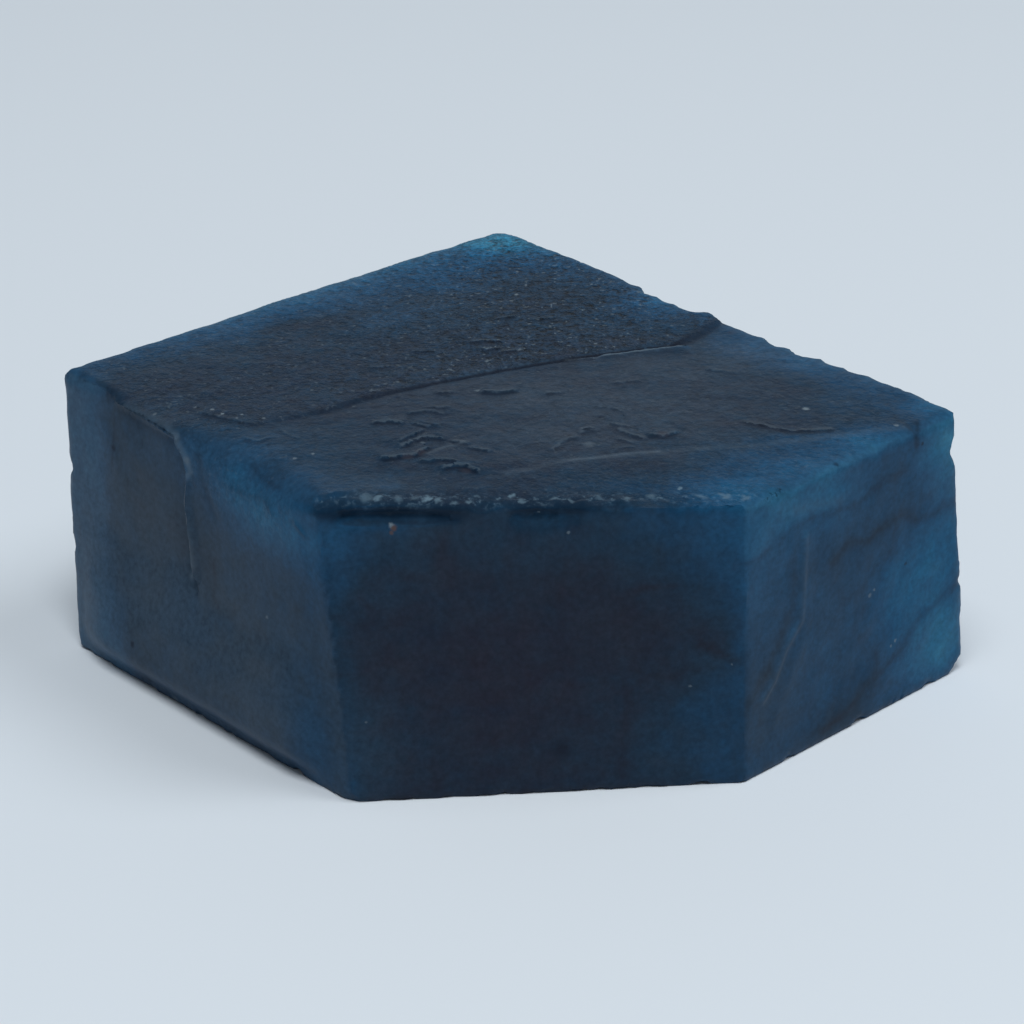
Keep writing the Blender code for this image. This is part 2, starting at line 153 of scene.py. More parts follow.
# The solid's groove is wide and shallow: it is partly filled, and cut narrower. Both fade between
# these two distances past the crack's ends.
CRACK_FILL = 0.19
CRACK_FILL_WIDTH = 0.4
CRACK_DEPTH = 0.11
CRACK_WIDTH = 0.11
CRACK_ENDS = (-1.0, 0.8)
# The crack's painted shade along its run: place along X, half width and darkness.
CRACK_SHADING = (
    (-16.0, 0.5, 0.0), (-13.0, 0.5, 0.25), (-9.0, 0.26, 0.45), (-6.0, 0.18, 0.75),
    (0.0, 0.15, 0.85), (5.0, 0.17, 0.95), (10.5, 0.24, 0.95), (12.0, 0.55, 0.6), (14.2, 0.6, 0.6),
)
CRACK_LIP = ((5.2, 0.55), (8.2, 1.62), (11.2, 2.5))
LIP_HEIGHT = 0.12
LIP_WIDTH = 0.12
LIP_ENDS = (-0.6, 0.3)
# Flaked ledges on the top, each raised behind its line: points, height, run of the raised side and
# how strongly its painted shadow and highlight show. LEDGE_RISER is half the width of the step.
LEDGES = (
    (((-8.4, -16.0), (-7.4, -15.6), (-6.3, -15.3), (-5.6, -14.4)), 0.24, 1.0, 1.0),
    (((-7.2, -14.1), (-6.4, -13.1), (-5.6, -12.5), (-4.8, -12.8)), 0.18, 1.0, 0.9),
    (((-7.3, -13.4), (-6.7, -12.5), (-6.0, -11.6)), 0.17, 1.0, 0.6),
    (((-5.9, -16.3), (-4.8, -16.3), (-3.9, -16.7)), 0.21, 1.0, 0.7),
    (((-4.5, -17.3), (-3.9, -17.0), (-3.2, -17.0), (-2.5, -17.8)), 0.28, 1.0, 1.0),
    (((-4.0, -13.2), (-3.2, -13.5)), 0.14, 1.0, 0.7),
    (((-2.9, -14.2), (-1.8, -14.6)), 0.14, 1.0, 0.7),
    (((-9.1, -10.5), (-8.3, -10.2), (-7.5, -10.5)), 0.18, 1.0, 0.9),
    (((-6.8, -8.9), (-5.7, -8.4), (-4.9, -8.8)), 0.11, 0.8, 0.5),
    (((-6.6, -10.5), (-5.7, -11.0), (-5.0, -10.6)), 0.11, 0.8, 0.6),
    (((-2.2, -5.3), (-1.2, -5.4), (-0.2, -5.1)), 0.22, 1.0, 0.9),
    (((-5.1, -5.5), (-4.1, -5.3)), 0.14, 0.8, 0.5),
    (((2.0, -5.7), (2.9, -5.5)), 0.14, 0.8, 0.6),
    (((2.4, -14.3), (3.0, -12.9), (3.8, -12.5)), 0.13, 0.8, 0.5),
    (((4.1, -11.7), (4.9, -11.5)), 0.11, 0.8, 0.6),
    (((6.1, -10.5), (6.7, -10.8), (7.2, -11.0)), 0.1, 0.6, 0.6),
    (((6.5, -11.3), (7.1, -12.0), (7.9, -12.6)), 0.13, 0.8, 0.7),
    (((6.5, -12.7), (7.4, -13.3)), 0.1, 0.6, 0.5),
    (((6.4, -14.1), (7.3, -13.9)), 0.08, 0.6, 0.4),
    (((4.2, -11.4), (4.8, -11.2)), 0.1, 0.5, 0.7),
    (((5.1, -7.8), (6.1, -8.0), (6.9, -8.6)), 0.07, 0.6, 0.3),
    (((-5.7, -8.0), (-4.6, -7.8)), 0.1, 0.6, 0.5),
    (((-6.0, -10.3), (-5.0, -10.9)), 0.08, 0.5, 0.4),
    (((-17.2, -12.6), (-16.4, -13.0), (-15.8, -12.7)), 0.08, 0.6, 0.5),
    (((-15.1, -11.5), (-14.6, -12.3), (-14.0, -12.8)), 0.08, 0.6, 0.4),
    (((8.6, -12.1), (9.4, -12.3), (10.2, -11.7)), 0.18, 1.0, 0.8),
    (((-20.5, -8.6), (-18.8, -9.7), (-16.9, -10.6)), 0.1, 1.0, 0.3),
    (((14.7, -10.3), (17.5, -11.6), (20.1, -11.3)), 0.1, 0.7, 0.7),
    (((-3.0, 3.3), (-1.2, 3.3)), 0.1, 0.6, 0.9),
    (((-2.6, 2.1), (-1.2, 2.0)), 0.1, 0.6, 0.5),
    (((-0.9, 1.5), (0.4, 1.9)), 0.1, 0.6, 0.8),
    (((3.4, 0.2), (5.0, 0.5)), 0.1, 0.6, 0.5),
    (((-6.9, 1.6), (-5.6, 1.5)), 0.1, 0.6, 0.5),
    (((-9.6, -1.2), (-8.4, -1.0)), 0.1, 0.6, 0.5),
    (((1.2, 7.0), (2.4, 7.3)), 0.1, 0.6, 0.5),
    (((-1.2, 7.2), (-0.2, 7.6)), 0.1, 0.6, 0.5),
    (((12.8, -1.6), (14.6, -2.2)), 0.1, 0.6, 0.4),
    (((6.6, -3.9), (8.0, -3.6)), 0.1, 0.6, 0.4),
)
LEDGE_RISER = 0.1
# Between these two distances past the line's ends a ledge fades, and so do its painted shadow and
# highlight.
LEDGE_ENDS = (-0.18, 0.6)
LEDGE_SHADING_ENDS = (-0.2, 0.4)
# The solid's own rounder ledges, which these replace: points, height and run of the raised side.
SOLID_LEDGES = (
    (((-8.1, -15.7), (-7.1, -15.3), (-5.8, -14.1), (-5.1, -12.5)), 0.34, 1.6),
    (((-7.0, -13.6), (-6.3, -12.4), (-5.5, -11.5)), 0.26, 1.2),
    (((-5.6, -15.3), (-4.2, -15.8), (-2.7, -16.3)), 0.3, 1.5),
    (((-4.2, -17.1), (-3.2, -17.4), (-2.3, -16.9)), 0.4, 1.3),
    (((-3.3, -12.9), (-2.4, -13.7), (-1.4, -14.4)), 0.2, 1.2),
    (((-8.9, -9.7), (-8.0, -10.1), (-7.0, -9.8)), 0.26, 1.0),
    (((-1.9, -5.0), (-0.9, -5.2), (0.2, -4.8)), 0.32, 1.0),
    (((-4.8, -5.4), (-3.8, -5.2)), 0.2, 0.8),
    (((2.3, -5.6), (3.2, -5.4)), 0.2, 0.8),
    (((6.6, -10.3), (7.6, -11.3), (8.3, -12.4)), 0.18, 1.0),
    (((8.9, -12.0), (9.7, -12.2), (10.5, -11.6)), 0.26, 1.0),
    (((2.6, -13.6), (3.4, -13.0), (4.1, -13.1)), 0.18, 0.8),
)
SOLID_RISER = 0.28
# The pale line where the top starts to slope to its front and right rims: a painted highlight along the
# bend.
SEAM_HIGHLIGHT_LINE = (
    (-0.6, -17.9), (2.9, -16.0), (6.6, -15.1), (10.6, -14.2), (15.0, -13.6), (20.5, -12.0),
    (25.0, -10.8),
)
# The ridge over the left rim and down the left wall, the scar beside it, the small step in the
# chipped rim, and the right wall's ridge.
LEFT_RIDGE = (
    (-25.6, -6.7, 19.4), (-22.5, -10.0, 19.5), (-21.8, -10.8, 19.2), (-20.9, -11.8, 18.0),
    (-20.7, -12.1, 17.3), (-21.2, -11.7, 16.4), (-21.3, -11.8, 14.6), (-21.0, -12.3, 12.6),
    (-20.8, -12.7, 10.9), (-21.2, -12.3, 9.8),
)
LEFT_SCAR = ((-20.2, -12.5, 18.6), (-19.8, -13.1, 16.8), (-19.3, -13.8, 15.6), (-19.0, -14.2, 14.9))
CHIP_STEP = ((-18.1, -15.0, 17.5), (-17.0, -16.2, 17.6), (-15.7, -17.5, 18.0), (-15.0, -18.3, 17.3))
RIGHT_RIDGE = (
    (18.1, -18.0, 15.4), (18.1, -18.1, 12.8), (18.1, -18.4, 9.7), (17.1, -19.4, 8.2),
    (16.4, -20.2, 6.3), (15.7, -21.0, 5.3),
)
# Raised and sunk lines on the walls: height, half width and the line. The first lowers the solid's
# own ridge at the left rim.
WALL_LINES = (
    (-0.22, 0.34, LEFT_RIDGE[:3]),
    (0.04, 0.24, LEFT_RIDGE[3:]),
    (-0.03, 0.34, LEFT_SCAR),
    (0.09, 0.26, RIGHT_RIDGE),
    (0.05, 0.22, CHIP_STEP),
    (0.05, 0.18, ((-13.3, -20.1, 17.5), (-12.7, -20.8, 17.1))),
)
# The crumbled front rim: where it runs, how far it reaches, its lumps' size and height, and the
# share by which they are sunk.
CRUMB_LINE = (
    (-11.8, -21.3, 19.6), (-4.0, -21.3, 19.6), (1.0, -21.1, 19.6), (7.5, -20.6, 19.5),
    (12.5, -20.5, 19.4), (14.5, -20.0, 19.4),
)
CRUMB_REACH = 0.55
CRUMB_SIZE = 0.55
CRUMB_HEIGHT = 0.12
CRUMB_SINK = 0.2
CRUMB_SEED = 8
# Low lumps: height, size and seed. Those of the walls begin at these heights above the foot.
TOP_LUMPS = (0.035, 1.4, 3)
WALL_LUMPS = ((0.05, 2.2, 5), (0.02, 0.9, 6))
WALL_FOOT = (0.2, 1.6)
# Pale clumps on the crumbled rim: place, radius and strength.
CLUMPS = (
    ((-9.3, -21.2, 19.6), 0.55, 0.45), ((-8.6, -21.3, 19.6), 0.34, 0.8), ((-7.3, -21.3, 19.5), 0.4, 0.45),
    ((-6.2, -21.3, 19.4), 0.36, 0.4), ((-5.5, -21.2, 19.6), 0.42, 1.0), ((-4.9, -21.3, 19.5), 0.34, 0.7),
    ((-3.9, -21.5, 19.4), 0.3, 0.55), ((-3.0, -21.4, 19.4), 0.26, 0.6), ((-2.4, -20.9, 19.6), 0.28, 0.35),
    ((-0.3, -20.8, 19.7), 0.26, 0.8), ((0.3, -21.3, 19.5), 0.24, 0.6), ((2.3, -20.9, 19.6), 0.26, 0.5),
    ((3.4, -21.2, 19.5), 0.24, 0.45), ((5.0, -20.8, 19.6), 0.34, 0.35), ((6.8, -20.7, 19.5), 0.36, 0.55),
    ((8.4, -20.5, 19.5), 0.4, 0.45), ((10.1, -19.4, 19.6), 0.24, 0.85), ((11.4, -20.3, 19.5), 0.42, 0.45),
    ((12.9, -20.2, 19.4), 0.46, 0.55), ((14.2, -20.4, 19.3), 0.4, 0.5),
)
CLUMP_STRENGTH = 0.75
# Painted shadow in the hollows under the crumbled rim: place, half length, half height and strength.
HOLLOW_SHADOWS = (
    ((-11.0, -22.0, 19.0), 1.9, 0.6, 0.95), ((-7.6, -21.8, 18.95), 2.0, 0.6, 0.95),
    ((-4.4, -21.8, 18.9), 1.9, 0.62, 1.0), ((0.9, -21.7, 19.25), 1.4, 0.4, 0.9),
    ((3.3, -21.6, 19.25), 1.6, 0.42, 0.9), ((16.2, -18.9, 19.1), 1.2, 0.35, 0.3),
)
HOLLOW_DEPTH = 1.2

# How grainy the top is in front of the crack and how much more behind it, over what distance the
# grain changes there, and a factor on the grain behind it by place along X.
GRAIN_FRONT = 0.3
GRAIN_BEHIND = 0.8
GRAIN_STEP = (-0.4, 0.8)
GRAIN_ALONG = ((-28.0, 0.35), (-14.0, 0.45), (-6.0, 0.9), (0.0, 1.5), (6.0, 1.4), (12.0, 0.8))
# Points with less than TOP_SHARE of the top count as FAR from its crack and seam.
TOP_SHARE = 0.3
FAR = 9.0

# ---- colour

# Clarity and frost of each surface before the clouds: thick stone is dark, thin stone teal with a painted
# glow of light coming through, and frost mixes in a pale grey.
SURFACES = {
    "top": (0.22, 0.02),
    "left": (0.32, 0.3),
    "front": (0.12, 0.03),
    "right": (0.49, 0.08),
    "back_left": (0.34, 0.16),
    "back_right": (0.38, 0.12),
}
# Clouds in the stone, by surface, those near thin edges and corners a painted glow of light coming
# through: place, reach each way, and change in clarity and in frost. A wall's places are X and height,
# and the top's are X and Y.
CLOUDS = {
    "front": (
        ((1.0, 20.0), (60.0, 5.4), 0.15, 0.03), ((-12.0, 10.0), (2.2, 40.0), 0.17, 0.0),
        ((-10.5, 17.0), (3.5, 3.0), 0.13, 0.04), ((-11.5, 2.5), (3.4, 4.5), 0.14, 0.1),
        ((13.7, 10.0), (3.3, 40.0), 0.2, 0.01), ((10.8, 18.5), (5.6, 3.8), 0.17, 0.0),
        ((11.5, 3.5), (5.0, 5.0), 0.14, 0.02), ((12.4, 10.4), (1.4, 1.3), -0.13, 0.0),
        ((-1.0, 7.8), (5.5, 4.0), -0.06, 0.0), ((3.0, 2.0), (8.0, 3.0), 0.05, 0.0),
        ((-4.5, 16.5), (1.4, 2.4), -0.05, 0.0), ((2.6, 14.8), (1.2, 3.4), -0.05, 0.0),
        ((6.5, 11.0), (1.6, 1.8), -0.04, 0.0), ((14.4, 12.0), (1.1, 6.5), 0.2, 0.02),
        ((-8.0, 4.0), (2.6, 6.0), 0.05, 0.03), ((-6.5, 18.6), (3.2, 1.2), 0.12, 0.1),
    ),
    "right": (
        ((17.6, 18.2), (4.2, 2.5), 0.28, 0.04), ((14.8, 14.5), (1.9, 4.6), 0.14, 0.06),
        ((20.2, 16.4), (2.2, 1.5), 0.08, 0.02), ((15.6, 5.5), (2.4, 3.8), -0.12, 0.09),
        ((21.0, 1.4), (2.4, 1.5), -0.15, -0.06), ((22.4, 3.5), (1.4, 1.2), -0.06, -0.1),
        ((20.6, 11.4), (2.0, 2.4), -0.02, 0.04), ((23.8, 13.5), (1.1, 1.2), -0.11, 0.02),
        ((27.4, 9.2), (3.0, 4.8), 0.28, -0.1), ((24.6, 8.2), (1.5, 2.6), 0.14, -0.1),
        ((28.4, 2.6), (2.6, 2.8), 0.38, 0.02), ((28.0, 18.0), (1.9, 1.9), 0.46, 0.03),
        ((28.7, 15.0), (1.6, 2.2), 0.16, 0.1), ((26.0, 14.0), (1.8, 0.8), -0.08, 0.0),
        ((24.0, 17.0), (1.1, 1.4), -0.05, 0.0), ((18.6, 12.4), (1.0, 1.8), 0.0, 0.02),
    ),
    "left": (
        ((-17.4, 18.4), (5.2, 3.7), 0.32, -0.16), ((-12.4, 16.4), (1.6, 4.2), 0.14, -0.1),
        ((-21.3, 12.4), (1.5, 2.3), -0.1, 0.02), ((-24.2, 12.8), (1.3, 1.7), -0.06, 0.06),
        ((-20.0, 0.8), (8.0, 1.7), 0.16, -0.02), ((-12.8, 3.5), (1.8, 4.5), 0.12, -0.08),
        ((-13.0, 10.0), (1.9, 40.0), 0.02, -0.12), ((-26.2, 17.5), (2.4, 3.0), -0.02, -0.12),
        ((-22.6, 6.5), (3.4, 3.0), 0.03, 0.05), ((-18.4, 8.0), (2.0, 2.4), -0.03, 0.02),
        ((-15.8, 11.8), (1.6, 2.2), 0.05, -0.04), ((-19.6, 18.6), (1.6, 1.2), 0.06, 0.06),
        ((-24.0, 7.6), (3.0, 3.4), 0.0, 0.16), ((-16.5, 5.0), (3.2, 4.4), 0.0, 0.15),
        ((-15.6, 16.2), (2.4, 2.0), 0.28, 0.06), ((-28.6, 8.0), (1.4, 5.0), -0.06, 0.14),
    ),
    "back_left": (
        ((-29.5, 10.0), (2.4, 40.0), 0.34, 0.14), ((-1.0, 14.0), (3.0, 9.0), 0.3, -0.06),
        ((-12.0, 5.0), (6.0, 5.0), -0.12, 0.04), ((-20.0, 14.0), (5.0, 4.0), 0.1, 0.0),
        ((-8.0, 17.0), (5.0, 2.5), 0.14, -0.04), ((-24.0, 3.0), (3.0, 3.0), 0.12, 0.04),
    ),
    "back_right": (
        ((28.8, 8.0), (3.0, 9.0), 0.36, -0.02), ((2.0, 14.0), (3.4, 8.0), 0.24, -0.06),
        ((13.0, 8.0), (5.0, 6.0), -0.14, 0.04), ((20.0, 16.0), (5.0, 3.0), 0.14, 0.02),
        ((8.0, 4.0), (4.0, 3.0), 0.1, 0.0), ((24.0, 4.0), (4.0, 3.0), 0.12, 0.0),
    ),
    "top": (
        ((-1.0, 22.4), (3.4, 3.0), 0.62, -0.03), ((-1.5, 17.6), (4.6, 3.0), 0.16, 0.0),
        ((-9.2, 8.6), (3.8, 3.6), 0.15, 0.06), ((-4.6, 12.8), (3.4, 3.0), 0.18, 0.02),
        ((8.4, 7.2), (3.0, 2.8), 0.12, 0.0), ((9.6, 10.2), (2.4, 1.8), 0.18, 0.0),
        ((15.4, 1.8), (3.0, 2.4), 0.2, 0.22), ((19.5, -0.8), (2.6, 2.0), 0.2, 0.1),
        ((22.0, -4.2), (2.6, 2.0), 0.11, 0.0), ((26.8, -7.6), (2.0, 2.0), 0.32, 0.0),
        ((23.0, -12.2), (2.8, 1.3), 0.13, 0.0), ((16.6, -15.6), (4.8, 3.0), 0.19, 0.06),
        ((12.6, -19.6), (3.8, 2.4), 0.3, 0.02), ((21.6, -12.8), (2.4, 1.6), 0.16, 0.06),
        ((-14.2, -19.4), (3.2, 3.2), 0.26, 0.1), ((-18.0, -14.6), (3.4, 3.0), 0.3, 0.12),
        ((-19.4, -11.0), (3.0, 1.6), 0.04, 0.02), ((6.4, -19.6), (3.4, 1.6), 0.08, 0.0),
        ((-8.4, -19.8), (3.4, 1.4), 0.1, 0.16), ((1.0, -6.0), (7.0, 3.6), 0.0, 0.2),
        ((10.0, -9.0), (6.0, 5.0), 0.0, 0.16), ((8.6, -0.6), (4.2, 2.0), 0.02, 0.16),
        ((2.0, -12.5), (5.0, 2.6), 0.0, 0.16), ((-29.4, -2.4), (1.6, 1.6), 0.22, 0.18),
        ((13.5, -2.4), (3.0, 1.6), 0.05, 0.12), ((0.0, 10.0), (13.0, 7.0), 0.04, -0.01),
        ((21.6, -7.4), (3.0, 2.2), 0.08, 0.0), ((17.0, -12.4), (1.8, 0.9), 0.12, 0.0),
        ((-11.0, -13.0), (4.0, 3.0), 0.04, 0.0), ((-24.0, -3.0), (5.0, 2.6), -0.03, 0.02),
    ),
}
# The thin pale strip beside the west corner: its inner border in X, the border's softness, its
# clarity and frost, how the border swings inwards near the foot, and the lumps that make it ragged.
WEST_STRIP = {
    "border": -27.3, "soft": 1.1, "clarity_and_glow": 0.34, "frost": 0.14, "swing": 1.9, "swing_height": 3.6,
    "ragged": (0.5, 2.4, 14),
}
# The clear bands along the rims, a painted glow of light coming through the thin rims: width, and strength
# by distance from the wall's first corner.
RIM_GLOW_BANDS = {
    "back_left": (4.0, ((0.0, 0.18), (6.0, 0.3), (14.0, 0.5), (22.0, 0.56), (30.0, 0.5), (38.6, 0.3))),
    "back_right": (3.4, ((0.0, 0.2), (6.0, 0.28), (12.0, 0.2), (20.0, 0.22), (30.0, 0.24), (45.0, 0.16))),
    "right": (3.0, ((0.0, 0.16), (5.0, 0.18), (12.0, 0.32), (19.8, 0.2))),
}
RIM_GLOW_FROST = 0.65
# The dark streak inside the back left band.
RIM_STREAK = ((-17.0, 5.4), (-12.7, 7.2), (-8.6, 9.6), (-5.6, 11.3), (-3.2, 11.4))
RIM_STREAK_WIDTH = 0.9
RIM_STREAK_CLARITY = -0.12
# How much clearer, with more painted glow, and more frosted each wall's worn rim is.
WORN_RIMS = {
    "back_left": (0.28, 0.46),
    "back_right": (0.24, 0.46),
    "right": (0.16, 0.18),
    "front": (0.04, 0.0),
    "left": (0.04, 0.06),
}
# The rim is worn where a normal rises by more than WORN_FROM and less than WORN_TO, and this many
# rounds of neighbours further.
WORN_FROM = (0.1, 0.3)
WORN_TO = (0.85, 0.95)
WORN_ROUNDS = 5
# The chip in the left rim, where top and wall run into each other: its place, reach, the heights
# over which it begins, the rounds that blend it, how wavy its skin is and how much less worn.
CHIP_PLACE = (-16.8, -15.6)
CHIP_REACH = 5.6
CHIP_HEIGHTS = (14.5, 17.5)
CHIP_ROUNDS = 30
CHIP_WAVES = 0.8
CHIP_UNWORN = 0.5
# Dark veins: how steeply they fade sideways, how far they wander each way with the size and seed of
# the wandering, then the strength, half width and line of each.
VEIN_FALL = 1.2
VEIN_WANDERS = ((0.3, 1.3, 11), (0.3, 1.3, 12), (0.3, 1.3, 13))
VEINS = (
    (0.55, 0.24, ((14.1, -22.0, 15.3), (16.2, -19.9, 15.8), (17.8, -18.1, 16.5), (19.6, -16.4, 16.3),
        (21.5, -14.4, 16.3), (23.0, -12.8, 17.1), (24.6, -11.2, 17.2))),
    (0.65, 0.34, ((19.9, -16.3, 12.8), (20.8, -15.3, 13.5), (22.4, -13.7, 13.2), (23.6, -12.5, 13.8),
        (24.4, -11.7, 14.0), (26.0, -10.1, 13.2), (27.3, -8.8, 13.0), (28.7, -7.4, 13.2))),
    (0.36, 0.3, ((24.4, -11.7, 13.4), (24.1, -12.1, 11.8), (22.9, -13.4, 10.6), (22.1, -14.2, 10.0),
        (21.0, -15.4, 9.4))),
    (0.6, 0.36, ((29.2, -7.2, 7.0), (28.2, -8.3, 6.4), (27.2, -9.4, 5.9), (26.0, -10.6, 4.9),
        (25.2, -11.5, 3.7), (24.2, -12.5, 3.2), (23.0, -13.8, 2.4), (21.7, -15.2, 1.3),
        (19.9, -17.1, 0.9))),
    (0.42, 0.3, ((17.4, -18.7, 14.2), (17.5, -18.9, 10.8), (16.9, -19.5, 9.5), (16.2, -20.4, 7.7),
        (15.3, -21.4, 6.3), (14.6, -22.2, 5.1))),
    (0.5, 0.26, ((23.5, -13.1, 4.9), (23.8, -12.9, 3.2))),
    (1.0, 0.18, ((25.7, -9.8, 19.8), (25.7, -11.0, 19.8))),
    (1.0, 0.18, ((25.6, -11.1, 19.6), (25.7, -11.0, 18.5))),
    (0.25, 0.3, ((-12.0, -24.4, 12.2), (-10.5, -24.3, 12.0), (-9.1, -24.2, 11.6))),
    (0.75, 0.26, ((11.5, -22.3, 10.2), (12.9, -22.2, 9.2), (14.1, -22.1, 8.8))),
    (0.35, 0.3, ((11.7, -22.3, 8.2), (8.0, -22.7, 7.7), (7.0, -22.8, 6.9), (6.9, -22.9, 5.1),
        (6.7, -23.0, 3.2), (6.7, -23.0, 0.9))),
    (0.25, 0.3, ((-3.7, -23.4, 19.6), (-4.1, -23.5, 18.1), (-4.7, -23.6, 15.6))),
    (0.25, 0.3, ((3.4, -22.7, 18.8), (3.4, -22.8, 16.1), (2.5, -23.0, 13.2))),
    (0.6, 0.18, ((6.8, -22.6, 13.5), (7.7, -22.5, 13.8), (9.7, -22.3, 14.0))),
    (0.25, 0.28, ((-11.9, -24.5, 8.3), (-9.6, -24.3, 8.8), (-7.2, -24.1, 9.3))),
    (0.18, 0.26, ((-4.9, -24.0, 4.9), (-5.0, -24.2, 0.4))),
    (0.18, 0.26, ((0.4, -23.5, 4.6), (0.4, -23.7, 0.1))),
    (0.45, 0.2, ((-19.4, -14.0, 11.8), (-19.5, -14.2, 9.3), (-19.0, -14.8, 8.5))),
    (0.25, 0.34, LEFT_SCAR),
    (0.45, 0.2, ((14.7, -10.3, 19.8), (17.5, -11.6, 19.8), (20.1, -11.3, 19.8))),
)
# Small marks on the skin: place, radius and strength of pale dust, rusty stains and dark pits. Their
# borders fade over these shares of the radius.
MARK_BORDER = (0.3, 1.15)
PALE_MARKS = (
    ((0.1, 11.9, 19.8), 0.22, 0.9), ((2.3, 5.9, 19.9), 0.16, 0.5), ((6.7, 8.1, 19.9), 0.14, 0.5),
    ((-4.6, 11.9, 19.8), 0.14, 0.45), ((-1.8, 10.4, 19.8), 0.14, 0.45), ((18.8, -8.1, 19.8), 0.28, 0.8),
    ((24.5, -10.6, 19.8), 0.2, 0.6), ((-15.7, -18.4, 9.9), 0.16, 0.35), ((-14.0, -15.7, 19.8), 0.18, 0.55),
    ((-12.8, -15.2, 19.9), 0.14, 0.55), ((1.3, -21.8, 18.8), 0.12, 0.4), ((3.3, -21.9, 17.6), 0.13, 0.5),
    ((10.9, -22.3, 7.1), 0.11, 0.35), ((13.4, -22.1, 8.4), 0.1, 0.35), ((-9.4, -23.8, 5.3), 0.12, 0.35),
    ((23.1, -13.8, 9.0), 0.18, 0.45), ((23.4, -13.5, 9.3), 0.14, 0.45), ((25.1, -11.9, 4.8), 0.14, 0.55),
    ((24.8, -12.2, 4.4), 0.12, 0.45), ((-22.5, -11.3, 0.3), 0.3, 0.4), ((-19.6, -8.3, 19.9), 0.18, 0.75),
    ((-19.0, -9.0, 19.9), 0.18, 0.85), ((-18.0, -9.7, 19.9), 0.14, 0.6), ((-17.7, -9.0, 19.9), 0.16, 0.7),
    ((-16.4, -9.6, 19.9), 0.18, 0.45), ((-21.0, -7.6, 19.9), 0.16, 0.45), ((-23.4, -8.4, 19.5), 0.2, 0.35),
    ((-7.75, -22.0, 18.25), 0.22, 0.7), ((8.6, 12.4, 19.7), 0.3, 0.4), ((-10.6, -7.4, 19.9), 0.16, 0.4),
    ((4.6, -13.4, 19.9), 0.5, 0.22), ((-2.6, -4.9, 20.0), 0.24, 0.45), ((-6.0, -13.3, 20.0), 0.22, 0.3),
)
RUST_MARKS = (
    ((-6.9, -15.5, 19.9), 0.5, 0.22), ((-6.1, -15.0, 19.9), 0.45, 0.22), ((-3.2, -17.6, 19.9), 0.45, 0.15),
    ((9.4, -11.9, 19.8), 0.5, 0.22), ((-7.6, -22.0, 17.95), 0.26, 1.0), ((-7.8, -22.0, 17.75), 0.18, 0.8),
    ((4.4, 2.9, 19.8), 0.3, 0.14), ((14.6, 4.9, 19.8), 0.4, 0.14),
)
DARK_MARKS = (
    ((2.9, -23.1, 3.0), 0.95, 0.5), ((2.9, -23.1, 3.0), 0.6, 0.7), ((20.0, -15.9, 19.4), 0.26, 0.6),
    ((26.3, -10.8, 18.4), 0.18, 0.7), ((25.6, -11.4, 10.1), 0.2, 0.6), ((-26.9, -5.6, 15.9), 0.3, 0.5),
    ((-24.9, -8.9, 3.1), 0.26, 0.6), ((-24.7, -9.4, 0.8), 0.3, 0.6), ((-3.4, -17.3, 19.8), 0.6, 0.45),
    ((20.6, 3.3, 19.7), 0.6, 0.35), ((7.6, -11.6, 19.8), 0.24, 0.4), ((-28.6, -2.0, 19.7), 0.8, 0.35),
    ((-26.6, -4.6, 19.3), 0.7, 0.4), ((-6.0, -11.0, 19.9), 0.4, 0.4), ((9.8, -14.6, 19.8), 0.22, 0.35),
    ((3.4, 1.7, 20.0), 0.4, 0.35), ((3.3, -3.6, 20.0), 0.3, 0.3),
)
# Thin lines on the skin, pale ones painted highlights on ridges and crests, dark ones painted shade in
# steps and scars: strength (negative is dark), half width and the line.
LIT_AND_SHADED_LINES = (
    (0.26, 0.2, LEFT_RIDGE[:3]),
    (0.34, 0.24, LEFT_RIDGE[2:4]),
    (0.42, 0.22, LEFT_RIDGE[3:]),
    (0.1, 0.3, RIGHT_RIDGE),
    (-0.26, 0.22, CHIP_STEP),
    (-0.26, 0.2, ((-13.7, -19.7, 17.6), (-13.2, -20.2, 17.4), (-12.8, -20.8, 17.0))),
    (-0.3, 0.16, ((-26.7, -5.4, 18.0), (-26.8, -5.5, 14.6))),
    (-0.14, 0.3, ((-20.2, -12.5, 18.4), (-19.8, -13.1, 16.8), (-19.3, -13.8, 15.6))),
    (-0.3, 0.14, ((-16.6, -15.0, 19.2), (-15.2, -16.4, 18.8), (-14.0, -17.6, 18.9))),
    (0.1, 0.4, ((17.6, -18.9, 17.6), (19.0, -17.6, 17.4), (20.6, -16.0, 17.0))),
    (0.3, 0.16, ((-5.9, -15.3, 20.0), (-4.6, -14.1, 20.0), (-3.4, -13.3, 20.0))),
    (0.3, 0.14, ((3.4, -15.9, 19.8), (6.6, -14.9, 19.8), (9.0, -14.4, 19.8))),
)


# ---- helpers for points and lines

def smooth_step(values, low, high):
    """Rises smoothly from 0 at low to 1 at high."""
    share = np.clip((values - low) / (high - low), 0.0, 1.0)
    return share * share * (3.0 - 2.0 * share)


def line_distance(points, line):
    """Signed distance from a bent line, positive on its left, and the overrun past its ends."""
    best = np.full(len(points), np.inf)
    signed = np.zeros(len(points))
    overrun = np.zeros(len(points))
    line = np.asarray(line, dtype=float)
    for number in range(len(line) - 1):
        run = line[number + 1] - line[number]
        length = np.linalg.norm(run)
        along = (points - line[number]) @ run / length
        held = np.clip(along, 0.0, length)
        away = points - line[number] - np.outer(held / length, run)
        distance = np.linalg.norm(away, axis=1)
        side = run[0] * away[:, 1] - run[1] * away[:, 0]
        nearer = distance < best
        best = np.where(nearer, distance, best)
        signed = np.where(nearer, np.where(side >= 0, distance, -distance), signed)
        past = np.zeros(len(points))
        if number == 0:
            past = np.maximum(past, -along)
        if number == len(line) - 2:
            past = np.maximum(past, along - length)
        overrun = np.where(nearer, past, overrun)
    return signed, overrun


def from_line(points, line):
    """Plain distance from a bent line in space."""
    return np.abs(line_distance(points, line)[0])


